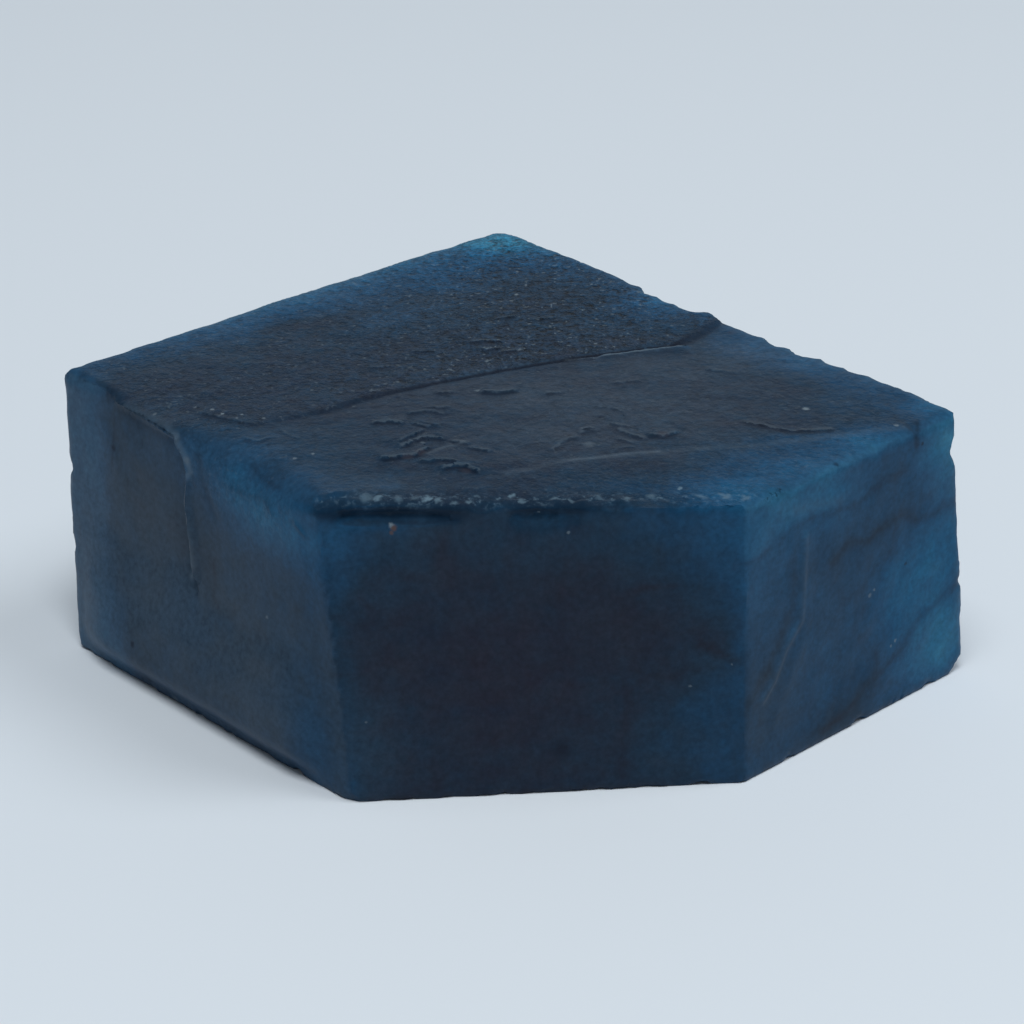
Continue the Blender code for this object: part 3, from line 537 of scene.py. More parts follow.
def laid_distance(points, line):
    """Distance from a line laid on the top or on a wall, whatever its small misfit to the surface."""
    line = np.asarray(line, dtype=float)
    middle = line.mean(axis=0)
    outward = np.array((0.0, 0.0, 1.0))
    if middle[2] < TOP_LEVEL:
        outward = wall_normal(max(WALLS, key=lambda name: off_wall(middle[None, :], name)[0]))
    misfit = (points - middle) @ outward
    flat_points = points - np.outer(misfit, outward)
    flat_line = line - np.outer((line - middle) @ outward, outward)
    return np.hypot(from_line(flat_points, flat_line), np.maximum(np.abs(misfit) - SURFACE_SLACK, 0.0))


def nearest_point(place, points):
    """The surface point nearest to a place."""
    return points[np.argmin(((points - place) ** 2).sum(axis=1))]


def raised_behind(points, line, riser, run):
    """A unit step up across a line, which dies away behind it over a run and past its ends."""
    signed, overrun = line_distance(points, line)
    step = smooth_step(signed, -riser, riser) * np.exp(-np.maximum(signed, 0.0) / run)
    return step * (1.0 - smooth_step(overrun, *LEDGE_ENDS))


def lumps(points, height, size, seed):
    """Smooth random numbers from about minus to plus a height, with lumps of a size."""
    shift = Vector([seed * part for part in SEED_SHIFT])
    return height * np.array([noise.noise(Vector(point) / size + shift) for point in points])


def bell(distance, width):
    """A bell curve: 1 at no distance, and next to nothing two widths away."""
    return np.exp(-(distance / width) ** 2)


def wall_normal(name):
    """A wall's level outward direction."""
    first, second = (np.mean(CORNERS[corner], axis=0) for corner in WALLS[name])
    run = (second - first) / np.linalg.norm(second - first)
    return np.array((-run[1], run[0], 0.0))


def off_wall(points, name):
    """How far outside a wall's leaning plane each point lies."""
    level = points[:, 2:3] / HEIGHT
    ends = []
    for corner in WALLS[name]:
        foot, rim = (np.array(place) for place in CORNERS[corner])
        ends.append(foot + (rim - foot) * level)
    run = ends[1] - ends[0]
    run /= np.linalg.norm(run, axis=1, keepdims=True)
    away = points[:, :2] - ends[0]
    return away[:, 1] * run[:, 0] - away[:, 0] * run[:, 1]


def facing(normals, direction):
    """How far each point faces a direction, from 0 to 1."""
    return smooth_step(normals @ np.asarray(direction), *FACING)


# ---- the fine mesh

@contextlib.contextmanager
def opened(mesh):
    """A mesh opened for changes, which are written back to it."""
    bm = bmesh.new()
    bm.from_mesh(mesh)
    yield bm
    bm.to_mesh(mesh)
    bm.free()


def remeshed_stone():
    """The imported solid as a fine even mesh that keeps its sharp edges."""
    rough = bpy.data.objects.new("stone_rough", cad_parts["aquamarine"].data.copy())
    bpy.context.scene.collection.objects.link(rough)
    remesh = rough.modifiers.new("fine mesh", "REMESH")
    remesh.mode = "SHARP"
    remesh.octree_depth = OCTREE_DEPTH
    remesh.scale = OCTREE_SCALE
    graph = bpy.context.evaluated_depsgraph_get()
    mesh = bpy.data.meshes.new_from_object(rough.evaluated_get(graph))
    mesh.name = "stone"
    bpy.data.objects.remove(rough, do_unlink=True)
    return mesh


def plain_base(mesh):
    """Joins the base's squares, which carry no detail, into one face."""
    level = BASE_LEVEL * MM
    with opened(mesh) as bm:
        flat = [face for face in bm.faces if all(abs(vert.co.z) < level for vert in face.verts)]
        bmesh.ops.dissolve_faces(bm, faces=flat, use_verts=True)


def mesh_arrays(mesh):
    """A mesh's points in mm, where the tables have them, and its point normals."""
    count = len(mesh.vertices)
    points = np.empty(count * 3)
    normals = np.empty(count * 3)
    mesh.vertices.foreach_get("co", points)
    mesh.vertex_normals.foreach_get("vector", normals)
    return points.reshape(-1, 3) / MM + TABLE_SHIFT, normals.reshape(-1, 3)


def set_points(mesh, points):
    """Writes points in mm back to a mesh."""
    mesh.vertices.foreach_set("co", ((points - TABLE_SHIFT) * MM).ravel())
    mesh.update()


def edge_pairs(mesh):
    """The two point numbers of every edge."""
    pairs = np.empty(len(mesh.edges) * 2, dtype=np.int64)
    mesh.edges.foreach_get("vertices", pairs)
    return pairs.reshape(-1, 2)


def neighbour_mean(values, pairs):
    """The mean of each point's neighbours."""
    total = np.zeros_like(values)
    count = np.zeros(len(values))
    for here, there in ((0, 1), (1, 0)):
        np.add.at(total, pairs[:, here], values[pairs[:, there]])
        np.add.at(count, pairs[:, here], 1.0)
    return total / count.reshape(-1, *[1] * (values.ndim - 1))


def near_chip(points):
    """How near each point is to the chip in the left rim, from 0 to 1."""
    away = np.linalg.norm(points[:, :2] - CHIP_PLACE, axis=1) / CHIP_REACH
    return np.exp(-away ** 4) * smooth_step(points[:, 2], *CHIP_HEIGHTS)


def blended(values, near, pairs):
    """Runs the values into each other where near is 1, and leaves them where it is 0."""
    soft = values
    for _ in range(CHIP_ROUNDS):
        soft = neighbour_mean(soft, pairs)
    return values + near * (soft - values)


def bend(points, normals, pairs):
    """How sharply the surface is bent at each point, per cell of the mesh."""
    away = points - neighbour_mean(points, pairs)
    return np.abs((away * normals).sum(axis=1)) / CELL


def spread(values, pairs):
    """Gives every point the largest value among itself and its neighbours."""
    widest = values.copy()
    for here, there in ((0, 1), (1, 0)):
        np.maximum.at(widest, pairs[:, here], values[pairs[:, there]])
    return widest


def smooth_facets(mesh):
    """Smooths the solid's flat facets away, spares its worn edges and rounds the chipped rim."""
    pairs = edge_pairs(mesh)
    points, normals = mesh_arrays(mesh)
    bent = bend(points, normals, pairs)
    for _ in range(SPARED_CELLS):
        bent = spread(bent, pairs)
    weight = SMOOTH_PULL * (1.0 - smooth_step(bent, *EDGE_BEND))[:, None]
    for _ in range(SMOOTH_ROUNDS):
        points = points + weight * (neighbour_mean(points, pairs) - points)
    set_points(mesh, blended(points, near_chip(points)[:, None], pairs))


def detail_distance(points):
    """Distance from the nearest line that needs a finer mesh."""
    top_lines = [CRACK, CRACK_LIP] + [line for line, _, _, _ in LEDGES]
    lines = [[(*place, HEIGHT) for place in line] for line in top_lines]
    lines += [line for _, _, line in WALL_LINES + LIT_AND_SHADED_LINES]
    lines.append(CRUMB_LINE)
    return np.min([laid_distance(points, line) for line in lines], axis=0)


def refine(mesh):
    """Halves the mesh's squares along the lines that carry detail."""
    points = mesh_arrays(mesh)[0]
    close = detail_distance(points) < DETAIL_REACH
    with opened(mesh) as bm:
        edges = [edge for edge in bm.edges if all(close[vert.index] for vert in edge.verts)]
        bmesh.ops.subdivide_edges(bm, edges=edges, cuts=1, use_grid_fill=True)


def sharpen_walls(mesh):
    """Shades the mesh smooth, with a crisp break where one wall meets the next."""
    with opened(mesh) as bm:
        for face in bm.faces:
            face.smooth = True
        for edge in bm.edges:
            on_walls = all(abs(face.normal.z) < WALL_RISE for face in edge.link_faces)
            edge.smooth = not (on_walls and edge.calc_face_angle(0.0) > math.radians(SHARP_ANGLE))


# ---- relief

def top_relief(points):
    """Height in mm to add to the top: crack, lip, lumps, and crisp ledges for the solid's round ones."""
    flat = points[:, :2]
    signed, overrun = line_distance(flat, CRACK)
    held = 1.0 - smooth_step(overrun, *CRACK_ENDS)
    relief = CRACK_FILL * bell(signed, CRACK_FILL_WIDTH) * held
    relief -= CRACK_DEPTH * bell(signed, CRACK_WIDTH) * held
    signed, overrun = line_distance(flat, CRACK_LIP)
    relief += LIP_HEIGHT * bell(signed, LIP_WIDTH) * (1.0 - smooth_step(overrun, *LIP_ENDS))
    for line, height, run, _ in LEDGES:
        relief += height * raised_behind(flat, line, LEDGE_RISER, run)
    for line, height, run in SOLID_LEDGES:
        relief -= height * raised_behind(flat, line, SOLID_RISER, run)
    return relief + lumps(points, *TOP_LUMPS)


def wall_relief(points):
    """Height in mm to add to the walls: the ridges and scars, and low lumps that fade at the foot."""
    relief = sum(lumps(points, *one) for one in WALL_LUMPS) * smooth_step(points[:, 2], *WALL_FOOT)
    for height, width, line in WALL_LINES:
        relief += height * bell(laid_distance(points, line), width)
    return relief


def carve(mesh):
    """Moves the fine mesh's points by the relief of the surface they lie on."""
    points, normals = mesh_arrays(mesh)
    top = facing(normals, (0.0, 0.0, 1.0))
    base = facing(normals, (0.0, 0.0, -1.0))
    relief = top * top_relief(points) + (1.0 - top) * (1.0 - base) * wall_relief(points)
    crumbs = bell(from_line(points, CRUMB_LINE), CRUMB_REACH)
    relief += crumbs * CRUMB_HEIGHT * (lumps(points, 1.0, CRUMB_SIZE, CRUMB_SEED) - CRUMB_SINK)
    points = points + normals * relief[:, None]
    lowest, highest = (np.asarray(corner) / MM + TABLE_SHIFT for corner in cad_box)
    set_points(mesh, np.clip(points, lowest, highest))


def draw_back_spikes(mesh):
    """Draws single points that stand far off their neighbours back to them."""
    pairs = edge_pairs(mesh)
    points = mesh_arrays(mesh)[0]
    for _ in range(SPIKE_ROUNDS):
        away = neighbour_mean(points, pairs) - points
        far = (np.linalg.norm(away, axis=1) > SPIKE_HEIGHT) & (points[:, 2] > SPIKE_FLOOR)
        points = points + far[:, None] * away
    set_points(mesh, points)


# ---- paint

def store(mesh, name, values):
    """Keeps one number for each point, which the material reads by its name."""
    layer = mesh.attributes.new(name, "FLOAT", "POINT")
    layer.data.foreach_set("value", np.asarray(values, dtype=np.float32))


def surface_shares(points, normals):
    """The number of each point's wall, and each surface's share of it: the walls part crisply."""
    walls = list(WALLS)
    outermost = np.argmax([off_wall(points, name) for name in walls], axis=0)
    top = smooth_step(normals[:, 2], *TOP_BORDER)
    shares = {name: (1.0 - top) * (outermost == number) for number, name in enumerate(walls)}
    shares["top"] = top
    return outermost, shares


def soft_patches(places, patches):
    """Sums of soft patches at each place: the changes in clarity and in frost."""
    total = np.zeros((len(places), 2))
    for centre, reach, clarity_and_glow, frost in patches:
        away = (places - centre) / reach
        total += np.outer(np.exp(-(away ** 2).sum(axis=1)), (clarity_and_glow, frost))
    return total


def west_strip(points):
    """The thin pale strip beside the west corner, from 0 to 1."""
    border = WEST_STRIP["border"] + WEST_STRIP["swing"] * np.exp(-points[:, 2] / WEST_STRIP["swing_height"])
    border = border + lumps(points, *WEST_STRIP["ragged"])
    return 1.0 - smooth_step(points[:, 0] - border, -WEST_STRIP["soft"], WEST_STRIP["soft"])


def rim_glow_bands(points):
    """The painted glow of the clear bands along the thin rims, broken by a dark streak."""
    total = np.zeros(len(points))
    for name, (width, strengths) in RIM_GLOW_BANDS.items():
        first, second = (np.array(CORNERS[corner][1]) for corner in WALLS[name])
        run = (second - first) / np.linalg.norm(second - first)
        away = points[:, :2] - first
        inward = away[:, 0] * run[1] - away[:, 1] * run[0]
        strength = np.interp(away @ run, *zip(*strengths))
        total = np.maximum(total, strength * bell(inward, width))
    streak = bell(from_line(points[:, :2], RIM_STREAK), RIM_STREAK_WIDTH)
    return total + RIM_STREAK_CLARITY * streak


def worn_rim(normals, pairs):
    """How near each point is to the worn rim of the top, from 0 to 1."""
    worn = smooth_step(normals[:, 2], *WORN_FROM) * (1.0 - smooth_step(normals[:, 2], *WORN_TO))
    for _ in range(WORN_ROUNDS):
        worn = np.maximum(worn, neighbour_mean(worn, pairs))
    return worn


def clarity_glow_and_frost(points, normals, worn):
    """How clear, with its painted glow, and how frosted the stone looks at each point."""
    total = np.zeros((len(points), 2))
    walls, shares = surface_shares(points, normals)
    for name, share in shares.items():
        places = points[:, :2] if name == "top" else points[:, [0, 2]]
        values = np.array(SURFACES[name]) + soft_patches(places, CLOUDS[name])
        if name == "top":
            band = rim_glow_bands(points)
            values += np.column_stack([band, RIM_GLOW_FROST * band ** 2])
        if name == "left":
            values += np.outer(west_strip(points), (WEST_STRIP["clarity_and_glow"], WEST_STRIP["frost"]))
        total += share[:, None] * values
    total += worn[:, None] * np.array([WORN_RIMS[name] for name in WALLS])[walls]
    return total.T


def vein_strength(points):
    """How dark the veins make each point, from 0 to 1."""
    wander = np.column_stack([lumps(points, *one) for one in VEIN_WANDERS])
    strength = np.zeros(len(points))
    for dark, width, line in VEINS:
        apart = laid_distance(points + wander, line) / width
        strength = np.maximum(strength, dark / (1.0 + apart ** 2) ** VEIN_FALL)
    return strength


def lit_and_shaded_lines(points):
    """The thin painted highlights, above 0, and painted shade lines, below 0."""
    total = np.zeros(len(points))
    for strength, width, line in LIT_AND_SHADED_LINES:
        total += strength * bell(laid_distance(points, line), width)
    return total


def ledge_edges(points):
    """Signed distance from the nearest ledge's edge, and how strongly its painted shadow and highlight
    show.
    """
    nearest = np.full(len(points), FAR)
    strength = np.zeros(len(points))
    for line, _, _, shown in LEDGES:
        signed, overrun = line_distance(points[:, :2], line)
        closer = np.abs(signed) < np.abs(nearest)
        nearest = np.where(closer, signed, nearest)
        ending = 1.0 - smooth_step(overrun, *LEDGE_SHADING_ENDS)
        strength = np.where(closer, shown * ending, strength)
    return nearest, strength


def hollow_shade(points):
    """How dark the painted shadow in the hollows under the crumbled rim is."""
    shade = np.zeros(len(points))
    for place, length, height, strength in HOLLOW_SHADOWS:
        away = (points - place) / (length, HOLLOW_DEPTH, height)
        shade = np.maximum(shade, strength * np.exp(-(away ** 2).sum(axis=1) ** 2))
    return shade


def paint(mesh):
    """Stores what the material needs to know about each point."""
    points, normals = mesh_arrays(mesh)
    top = facing(normals, (0.0, 0.0, 1.0))
    pairs = edge_pairs(mesh)
    chip = near_chip(points)
    worn = blended(worn_rim(normals, pairs), chip, pairs) * (1.0 - CHIP_UNWORN * chip)
    clarity_and_glow, frost = (blended(values, chip, pairs) for values in clarity_glow_and_frost(points, normals, worn))
    store(mesh, "clarity_and_glow", clarity_and_glow)
    store(mesh, "frost", frost)
    store(mesh, "veins", vein_strength(points))
    store(mesh, "hollow_shadow", hollow_shade(points))
    store(mesh, "lines", lit_and_shaded_lines(points))
    ledge, ledge_shading_strength = ledge_edges(points)
    store(mesh, "ledge", ledge)
    store(mesh, "ledge_shading_strength", ledge_shading_strength * top)
    signed, overrun = line_distance(points[:, :2], CRACK)
    flat_top = np.maximum(blended(top * (1.0 - worn), chip, pairs), CHIP_WAVES * chip)
    behind = smooth_step(signed, *GRAIN_STEP) * np.interp(points[:, 0], *zip(*GRAIN_ALONG))
    store(mesh, "grain", flat_top * (GRAIN_FRONT + GRAIN_BEHIND * behind))
    store(mesh, "waves", flat_top)
    place, width, dark = zip(*CRACK_SHADING)
    widths_away = (np.abs(signed) + np.maximum(overrun, 0.0)) / np.interp(points[:, 0], place, width)
    store(mesh, "crack", np.where(top > TOP_SHARE, widths_away, FAR))
    store(mesh, "crack_shade", np.interp(points[:, 0], place, dark))
    store(mesh, "crack_lip", from_line(points[:, :2], CRACK_LIP) + FAR * (top < TOP_SHARE))
    store(mesh, "seam_highlight", from_line(points[:, :2], SEAM_HIGHLIGHT_LINE) + FAR * (top < TOP_SHARE))
    store(mesh, "crumbs", bell(from_line(points, CRUMB_LINE), CRUMB_REACH))
    store(mesh, "rim", worn)


# ---- material

class Graph:
    """Small helper that adds nodes to the tree of a material or world and links them."""

    def __init__(self, owner):
        owner.use_nodes = True
        self.tree = owner.node_tree

    def add(self, kind, *values, **settings):
        """Adds a node with its settings, and feeds its first inputs."""
        node = self.tree.nodes.new(kind)
        for name, value in settings.items():
            setattr(node, name, value)
        for socket, value in zip(node.inputs, values):
            self.feed(socket, value)
        return node

    def feed(self, socket, value):
        if isinstance(value, bpy.types.NodeSocket):
            self.tree.links.new(value, socket)
        else:
            socket.default_value = value

    def attribute(self, name):
        return self.add("ShaderNodeAttribute", attribute_name=name).outputs["Fac"]

    def math(self, operation, first, second=0.0, third=0.0, clamp=False):
        node = self.add("ShaderNodeMath", first, second, third, operation=operation, use_clamp=clamp)
        return node.outputs[0]

    def total(self, *terms):
        """Adds up (factor, value) pairs and plain values."""
        result = 0.0
        for term in terms:
            factor, value = term if isinstance(term, tuple) else (1.0, term)
            result = self.math("MULTIPLY_ADD", value, factor, result)
        return result

    def centred(self, *terms):
        """Adds up (strength, noise) pairs and centres the sum on 0."""
        return self.total(*terms, -0.5 * sum(strength for strength, _ in terms))

    def between(self, value, low, high, start=0.0, end=1.0, fade="SMOOTHSTEP"):
        """Maps a value from low..high to start..end, with a smooth or a linear fade."""
        node = self.add("ShaderNodeMapRange", value, low, high, start, end, interpolation_type=fade)
        return node.outputs["Result"]

    def noise(self, vector, scale, detail, roughness):
        node = self.add("ShaderNodeTexNoise", vector)
        for name, value in (("Scale", scale), ("Detail", detail), ("Roughness", roughness)):
            node.inputs[name].default_value = value
        return node.outputs["Fac"]

    def ramp(self, value, stops):
        node = self.add("ShaderNodeValToRGB", value)
        while len(node.color_ramp.elements) < len(stops):
            node.color_ramp.elements.new(0.5)
        for element, (place, colour) in zip(node.color_ramp.elements, stops):
            element.position = place
            element.color = (*colour, 1.0)
        return node.outputs["Color"]

    def mix(self, factor, first, second, blend="MIX"):
        node = self.add("ShaderNodeMix", factor, data_type="RGBA", blend_type=blend)
        self.feed(node.inputs[6], first)
        self.feed(node.inputs[7], second)
        return node.outputs[2]


# Clarity from slate-dark and thick to pale and thin, its teal end a painted glow of light coming through
# thin stone.
STONE_RAMP = (
    (0.0, (0.015, 0.016, 0.03)),
    (0.15, (0.0115, 0.0205, 0.0395)),
    (0.3, (0.0085, 0.03, 0.06)),
    (0.45, (0.006, 0.042, 0.095)),
    (0.6, (0.006, 0.062, 0.14)),
    (0.75, (0.007, 0.09, 0.19)),
    (0.9, (0.011, 0.13, 0.245)),
    (1.0, (0.025, 0.175, 0.295)),
)
# Of these colours, the hollow colour is painted shadow, the lip and line colours are painted highlights,
# and the dark and pale colours paint real marks and also painted shade and highlights.
FROST_COLOUR = (0.075, 0.1, 0.13, 1.0)
CLUMP_COLOUR = (0.15, 0.235, 0.3, 1.0)
PALE_COLOUR = (0.17, 0.215, 0.25, 1.0)
RUST_COLOUR = (0.085, 0.06, 0.06, 1.0)
DARK_COLOUR = (0.006, 0.0095, 0.02, 1.0)
HOLLOW_SHADOW_COLOUR = (0.0048, 0.018, 0.039, 1.0)
LINE_HIGHLIGHT_COLOUR = (0.12, 0.162, 0.205, 1.0)
LIP_HIGHLIGHT_COLOUR = (0.11, 0.15, 0.19, 1.0)
SKIN_ROUGHNESS = 0.45
RIM_ROUGHNESS = 0.7
SKIN_GLOSS = 0.1
RIM_GLOSS = 0.03
STONE_IOR = 1.575

# Noises in the material: scale, detail and roughness.
COARSE_NOISE = (1600.0, 3.0, 0.6)
FINE_NOISE = (3800.0, 2.0, 0.6)
WAVE_NOISE = (420.0, 3.0, 0.55)
CLOUD_NOISE = (230.0, 3.0, 0.55)
MOTTLE_NOISE = (700.0, 3.0, 0.6)
FROST_NOISE = (480.0, 4.0, 0.6)
SHADE_NOISE = (2600.0, 2.0, 0.6)
CRUMB_NOISE = (2600.0, 3.0, 0.65)
DUST_NOISE = (2900.0, 1.0, 0.5)
PIT_NOISE = (1900.0, 1.0, 0.5)
# The skin's grain, from its coarse and its fine noise, and its waves, in mm.
COARSE_GRAIN = 0.34
FINE_GRAIN = 0.14
WAVE_HEIGHT = 0.3
# How far the noises swing the clarity, the frost and the shade, and how the veins change the clarity
# and darken. The grain's shade comes from the bump's own noises: painted shade in its low spots and
# painted light on its high ones.
CLOUD_SWING = 0.2
MOTTLE_SWING = 0.28
FROST_SWING = 0.16
SHADE_SWING = 0.8
COARSE_SHADE = 2.0
FINE_SHADE = 1.8
VEIN_CLARITY = -0.2
VEIN_DARKNESS = 0.3
# Where a noise turns into crumbs, dust or pits: from, to, and the strengths there.
CRUMB_RANGE = (0.52, 0.7, 0.0, 0.4)
DUST_RANGE = (0.66, 0.74, 0.0, 0.36)
PIT_RANGE = (0.3, 0.22, 0.0, 0.55)
# A ledge's edge: how ragged the coarse and the fine noise make it, then the distances and strengths
# between which its painted shadow at the foot and its painted highlight on the crest begin and end.
LEDGE_RAGGED = (0.45, 0.2)
SHADOW_FOOT_BEGINS = (-0.6, -0.25)
SHADOW_FOOT_ENDS = (-0.1, 0.04, 0.85, 0.0)
HIGHLIGHT_CREST_BEGINS = (0.0, 0.08)
HIGHLIGHT_CREST_ENDS = (0.12, 0.34, 0.34, 0.0)
# How the painted shade of the crack, in its own widths, and the painted highlights of its lip and of the
# seam fade sideways.
CRACK_SHADE_FADE = (0.3, 1.6, 1.0, 0.0)
LIP_HIGHLIGHT_FADE = (0.04, 0.16, 0.75, 0.0)
SEAM_HIGHLIGHT_FADE = (0.0, 0.55, 0.14, 0.0)
# How finely and how far in mm noise moves the clumps and the marks about.
CLUMP_BREAKUP = (2200.0, 0.35)
MARK_BREAKUP = (3600.0, 0.12)


def marks(graph, place, points, table):
    """How strongly a table's small marks show at each place, moved onto the surface's points."""
    found = 0.0
    for centre, radius, strength in table:
        spot = Vector(nearest_point(centre, points) - TABLE_SHIFT) * MM
        apart = graph.add("ShaderNodeVectorMath", place, spot, operation="DISTANCE")
        inner, outer = (share * radius * MM for share in MARK_BORDER)
        inside = graph.between(apart.outputs["Value"], inner, outer, strength, 0.0)
        found = graph.math("MAXIMUM", inside, found)
    return found


def wandering(graph, place, scale, reach):
    """The place moved about by noise, so that what is laid out there gets a ragged outline."""
    texture = graph.add("ShaderNodeTexNoise", place)
    texture.inputs["Scale"].default_value = scale
    reach = Vector((reach, reach, reach)) * MM
    shift = graph.add(
        "ShaderNodeVectorMath", texture.outputs["Color"], 2.0 * reach, -reach, operation="MULTIPLY_ADD")
    moved = graph.add("ShaderNodeVectorMath", place, shift.outputs["Vector"], operation="ADD")
    return moved.outputs["Vector"]


def skin_height(graph, place, coarse, fine):
    """The skin's fine height in mm: grain, and broad low waves."""
    grain = graph.centred((COARSE_GRAIN, coarse), (FINE_GRAIN, fine))
    waves = graph.centred((WAVE_HEIGHT, graph.noise(place, *WAVE_NOISE)))
    return graph.total(
        graph.math("MULTIPLY", grain, graph.attribute("grain")),
        graph.math("MULTIPLY", waves, graph.attribute("waves")))


def body_colour(graph, place, coarse, fine):
    """The cloudy stone before its small marks: thick and dark, thin and teal with a painted glow, or
    frosted, its grain with painted shade.
    """
    veins = graph.attribute("veins")
    clarity_and_glow = graph.total(
        graph.attribute("clarity_and_glow"), (VEIN_CLARITY, veins),
        (CLOUD_SWING, graph.noise(place, *CLOUD_NOISE)), -0.5 * CLOUD_SWING,
        (MOTTLE_SWING, graph.noise(place, *MOTTLE_NOISE)), -0.5 * MOTTLE_SWING)
    colour = graph.ramp(clarity_and_glow, STONE_RAMP)
    swing = graph.centred((FROST_SWING, graph.noise(place, *FROST_NOISE)))
    frost = graph.math("ADD", graph.attribute("frost"), swing, clamp=True)
    colour = graph.mix(frost, colour, FROST_COLOUR)
    dark = graph.math("MULTIPLY", veins, VEIN_DARKNESS, clamp=True)
    colour = graph.mix(dark, colour, DARK_COLOUR)
    # Painted shade: the grain's low spots, from the bump's own noises, are darkened and its high spots
    # lightened.
    grain = graph.centred((FINE_SHADE, fine), (COARSE_SHADE, coarse))
    shade = graph.total(
        1.0, graph.math("MULTIPLY", grain, graph.attribute("grain")),
        (SHADE_SWING, graph.noise(place, *SHADE_NOISE)), -0.5 * SHADE_SWING)
    return graph.mix(1.0, colour, shade, "MULTIPLY")


def speckled(graph, place, colour):
    """Adds the top's sparse pale dust and dark pits."""
    grain = graph.attribute("grain")
    dust = graph.between(graph.noise(place, *DUST_NOISE), *DUST_RANGE)
    pits = graph.between(graph.noise(place, *PIT_NOISE), *PIT_RANGE)
    colour = graph.mix(graph.math("MULTIPLY", dust, grain), colour, PALE_COLOUR)
    return graph.mix(graph.math("MULTIPLY", pits, grain), colour, DARK_COLOUR)


def ledge_shadow_and_highlight(graph, colour, coarse, fine):
    """Paints shade at the foot of each ledge and a highlight on its crest, both ragged."""
    coarsely, finely = LEDGE_RAGGED
    middle = -0.5 * (coarsely + finely)
    edge = graph.total(graph.attribute("ledge"), (coarsely, coarse), (finely, fine), middle)
    strength = graph.attribute("ledge_shading_strength")
    for begins, ends, paint_colour in (
            (SHADOW_FOOT_BEGINS, SHADOW_FOOT_ENDS, DARK_COLOUR), (HIGHLIGHT_CREST_BEGINS, HIGHLIGHT_CREST_ENDS, PALE_COLOUR)):
        band = graph.math("MULTIPLY", graph.between(edge, *begins), graph.between(edge, *ends))
        colour = graph.mix(graph.math("MULTIPLY", band, strength, clamp=True), colour, paint_colour)
    return colour


def line_light_and_shade(graph, colour):
    """Adds the painted shade of the crack, the painted highlights of its lip and the seam, and the thin
    lines of painted highlight and shade.
    """
    crack_shade_share = graph.between(graph.attribute("crack"), *CRACK_SHADE_FADE)
    crack_shade_share = graph.math("MULTIPLY", crack_shade_share, graph.attribute("crack_shade"))
    # Painted highlight along the crack's thin lip.
    lip_highlight_share = graph.between(graph.attribute("crack_lip"), *LIP_HIGHLIGHT_FADE)
    seam_highlight_share = graph.between(graph.attribute("seam_highlight"), *SEAM_HIGHLIGHT_FADE)
    lines = graph.attribute("lines")
    line_highlight_share = graph.math("MAXIMUM", lines, 0.0)
    dark = graph.math("MULTIPLY", graph.math("MINIMUM", lines, 0.0), -1.0)
    for share, line_colour in (
            (crack_shade_share, DARK_COLOUR), (lip_highlight_share, LIP_HIGHLIGHT_COLOUR), (seam_highlight_share, LINE_HIGHLIGHT_COLOUR),
            (line_highlight_share, LINE_HIGHLIGHT_COLOUR), (dark, DARK_COLOUR)):
        colour = graph.mix(share, colour, line_colour)
    return colour


def new_material(name):
    """A material, the graph of its nodes and the inputs of its shader."""
    material = bpy.data.materials.new(name)
    graph = Graph(material)
    return material, graph, material.node_tree.nodes["Principled BSDF"].inputs


def stone_material(points):
    """Cloudy beryl: dark where it is thick, teal with a painted glow where light comes through, frosted on
    its edges; painted shade in hollows, crack and under ledges, and painted highlights on crests, lip, seam
    and ridges.
    """
    material, graph, shader = new_material("aquamarine_stone")
    place = graph.add("ShaderNodeTexCoord").outputs["Object"]
    coarse = graph.noise(place, *COARSE_NOISE)
    fine = graph.noise(place, *FINE_NOISE)
    colour = speckled(graph, place, body_colour(graph, place, coarse, fine))
    colour = ledge_shadow_and_highlight(graph, line_light_and_shade(graph, colour), coarse, fine)
    colour = graph.mix(graph.attribute("hollow_shadow"), colour, HOLLOW_SHADOW_COLOUR)
    ragged = wandering(graph, place, *CLUMP_BREAKUP)
    clumps = graph.math("MULTIPLY", marks(graph, ragged, points, CLUMPS), CLUMP_STRENGTH)
    crumbs = graph.between(graph.noise(place, *CRUMB_NOISE), *CRUMB_RANGE)
    crumbs = graph.math("MULTIPLY", crumbs, graph.attribute("crumbs"), clamp=True)
    colour = graph.mix(graph.math("MAXIMUM", crumbs, clumps), colour, CLUMP_COLOUR)
    ragged = wandering(graph, place, *MARK_BREAKUP)
    for table, mark_colour in (
            (DARK_MARKS, DARK_COLOUR), (PALE_MARKS, PALE_COLOUR), (RUST_MARKS, RUST_COLOUR)):
        colour = graph.mix(marks(graph, ragged, points, table), colour, mark_colour)
    graph.feed(shader["Base Color"], colour)
    bump = graph.add("ShaderNodeBump")
    bump.inputs["Distance"].default_value = MM
    graph.feed(bump.inputs["Height"], skin_height(graph, place, coarse, fine))
    graph.feed(shader["Normal"], bump.outputs["Normal"])
    rim = graph.attribute("rim")
    graph.feed(shader["Roughness"], graph.between(rim, 0.0, 1.0, SKIN_ROUGHNESS, RIM_ROUGHNESS))
    graph.feed(shader["Specular IOR Level"], graph.between(rim, 0.0, 1.0, SKIN_GLOSS, RIM_GLOSS))
    shader["IOR"].default_value = STONE_IOR
    return material


def floor_material():
    """Pale matte backdrop."""
    material, _, shader = new_material("backdrop_paper")
    shader["Base Color"].default_value = FLOOR_COLOUR
    shader["Roughness"].default_value = FLOOR_ROUGHNESS
    shader["Specular IOR Level"].default_value = 0.0
    return material


# ---- the scene

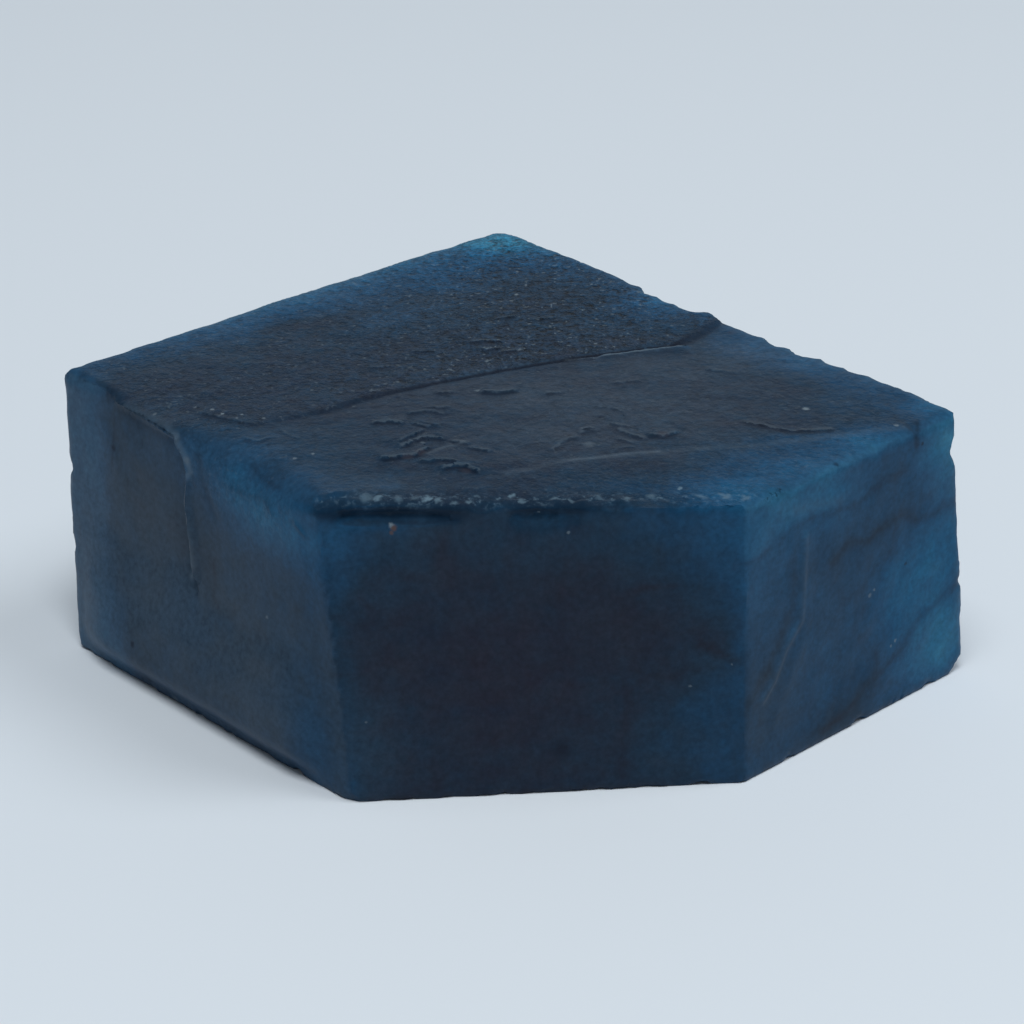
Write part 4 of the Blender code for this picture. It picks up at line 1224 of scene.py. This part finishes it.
def make_stone():
    """The stone: its fine mesh, relief, stored paint and material."""
    mesh = remeshed_stone()
    smooth_facets(mesh)
    refine(mesh)
    carve(mesh)
    draw_back_spikes(mesh)
    plain_base(mesh)
    paint(mesh)
    mesh.materials.clear()
    mesh.materials.append(stone_material(mesh_arrays(mesh)[0]))
    sharpen_walls(mesh)
    stone = bpy.data.objects.new("stone", mesh)
    bpy.context.scene.collection.objects.link(stone)
    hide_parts("aquamarine")
    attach(stone, "root")


def make_floor():
    """A wide pale floor just under the base."""
    bpy.ops.mesh.primitive_plane_add(size=FLOOR_SIZE, location=(0.0, 0.0, -FLOOR_DROP * MM))
    floor = bpy.context.object
    floor.name = "backdrop"
    floor.data.materials.append(floor_material())


def make_world():
    """The surround: dim, but pale low behind the stone."""
    world = bpy.data.worlds.new("studio")
    bpy.context.scene.world = world
    graph = Graph(world)
    direction = graph.add("ShaderNodeTexCoord").outputs["Generated"]
    parts = graph.add("ShaderNodeSeparateXYZ", direction).outputs
    behind = graph.between(parts["Y"], *WORLD_DEPTHS, fade="LINEAR")
    above = graph.between(parts["Z"], *WORLD_HEIGHTS)
    colour = graph.mix(above, graph.mix(behind, WORLD_FRONT, WORLD_BACK), WORLD_TOP)
    graph.feed(world.node_tree.nodes["Background"].inputs["Color"], colour)


def make_lamps():
    """Large soft lamps aimed at the stone."""
    for name, (place, size, power) in LAMPS.items():
        lamp = bpy.data.lights.new(name, "AREA")
        lamp.shape = "DISK"
        lamp.size = size
        lamp.energy = power
        lamp.color = LAMP_COLOUR
        holder = bpy.data.objects.new(name, lamp)
        holder.location = place
        holder.rotation_euler = (-holder.location).to_track_quat("-Z", "Y").to_euler()
        bpy.context.scene.collection.objects.link(holder)


def make_camera():
    """The camera, looking along +Y and down at the stone."""
    pitch = math.radians(CAMERA_PITCH)
    forward = Vector((0.0, math.cos(pitch), -math.sin(pitch)))
    camera = bpy.data.cameras.new("camera")
    camera.lens = CAMERA_LENS
    camera.sensor_width = CAMERA_SENSOR
    camera.clip_start = CAMERA_CLIP
    holder = bpy.data.objects.new("camera", camera)
    holder.location = Vector(CAMERA_AIM) * MM - forward * CAMERA_DISTANCE
    holder.rotation_euler = forward.to_track_quat("-Z", "Y").to_euler()
    bpy.context.scene.collection.objects.link(holder)
    bpy.context.scene.camera = holder


make_camera()
make_floor()
make_world()
make_lamps()
make_stone()
bpy.context.scene.view_settings.view_transform = "Standard"
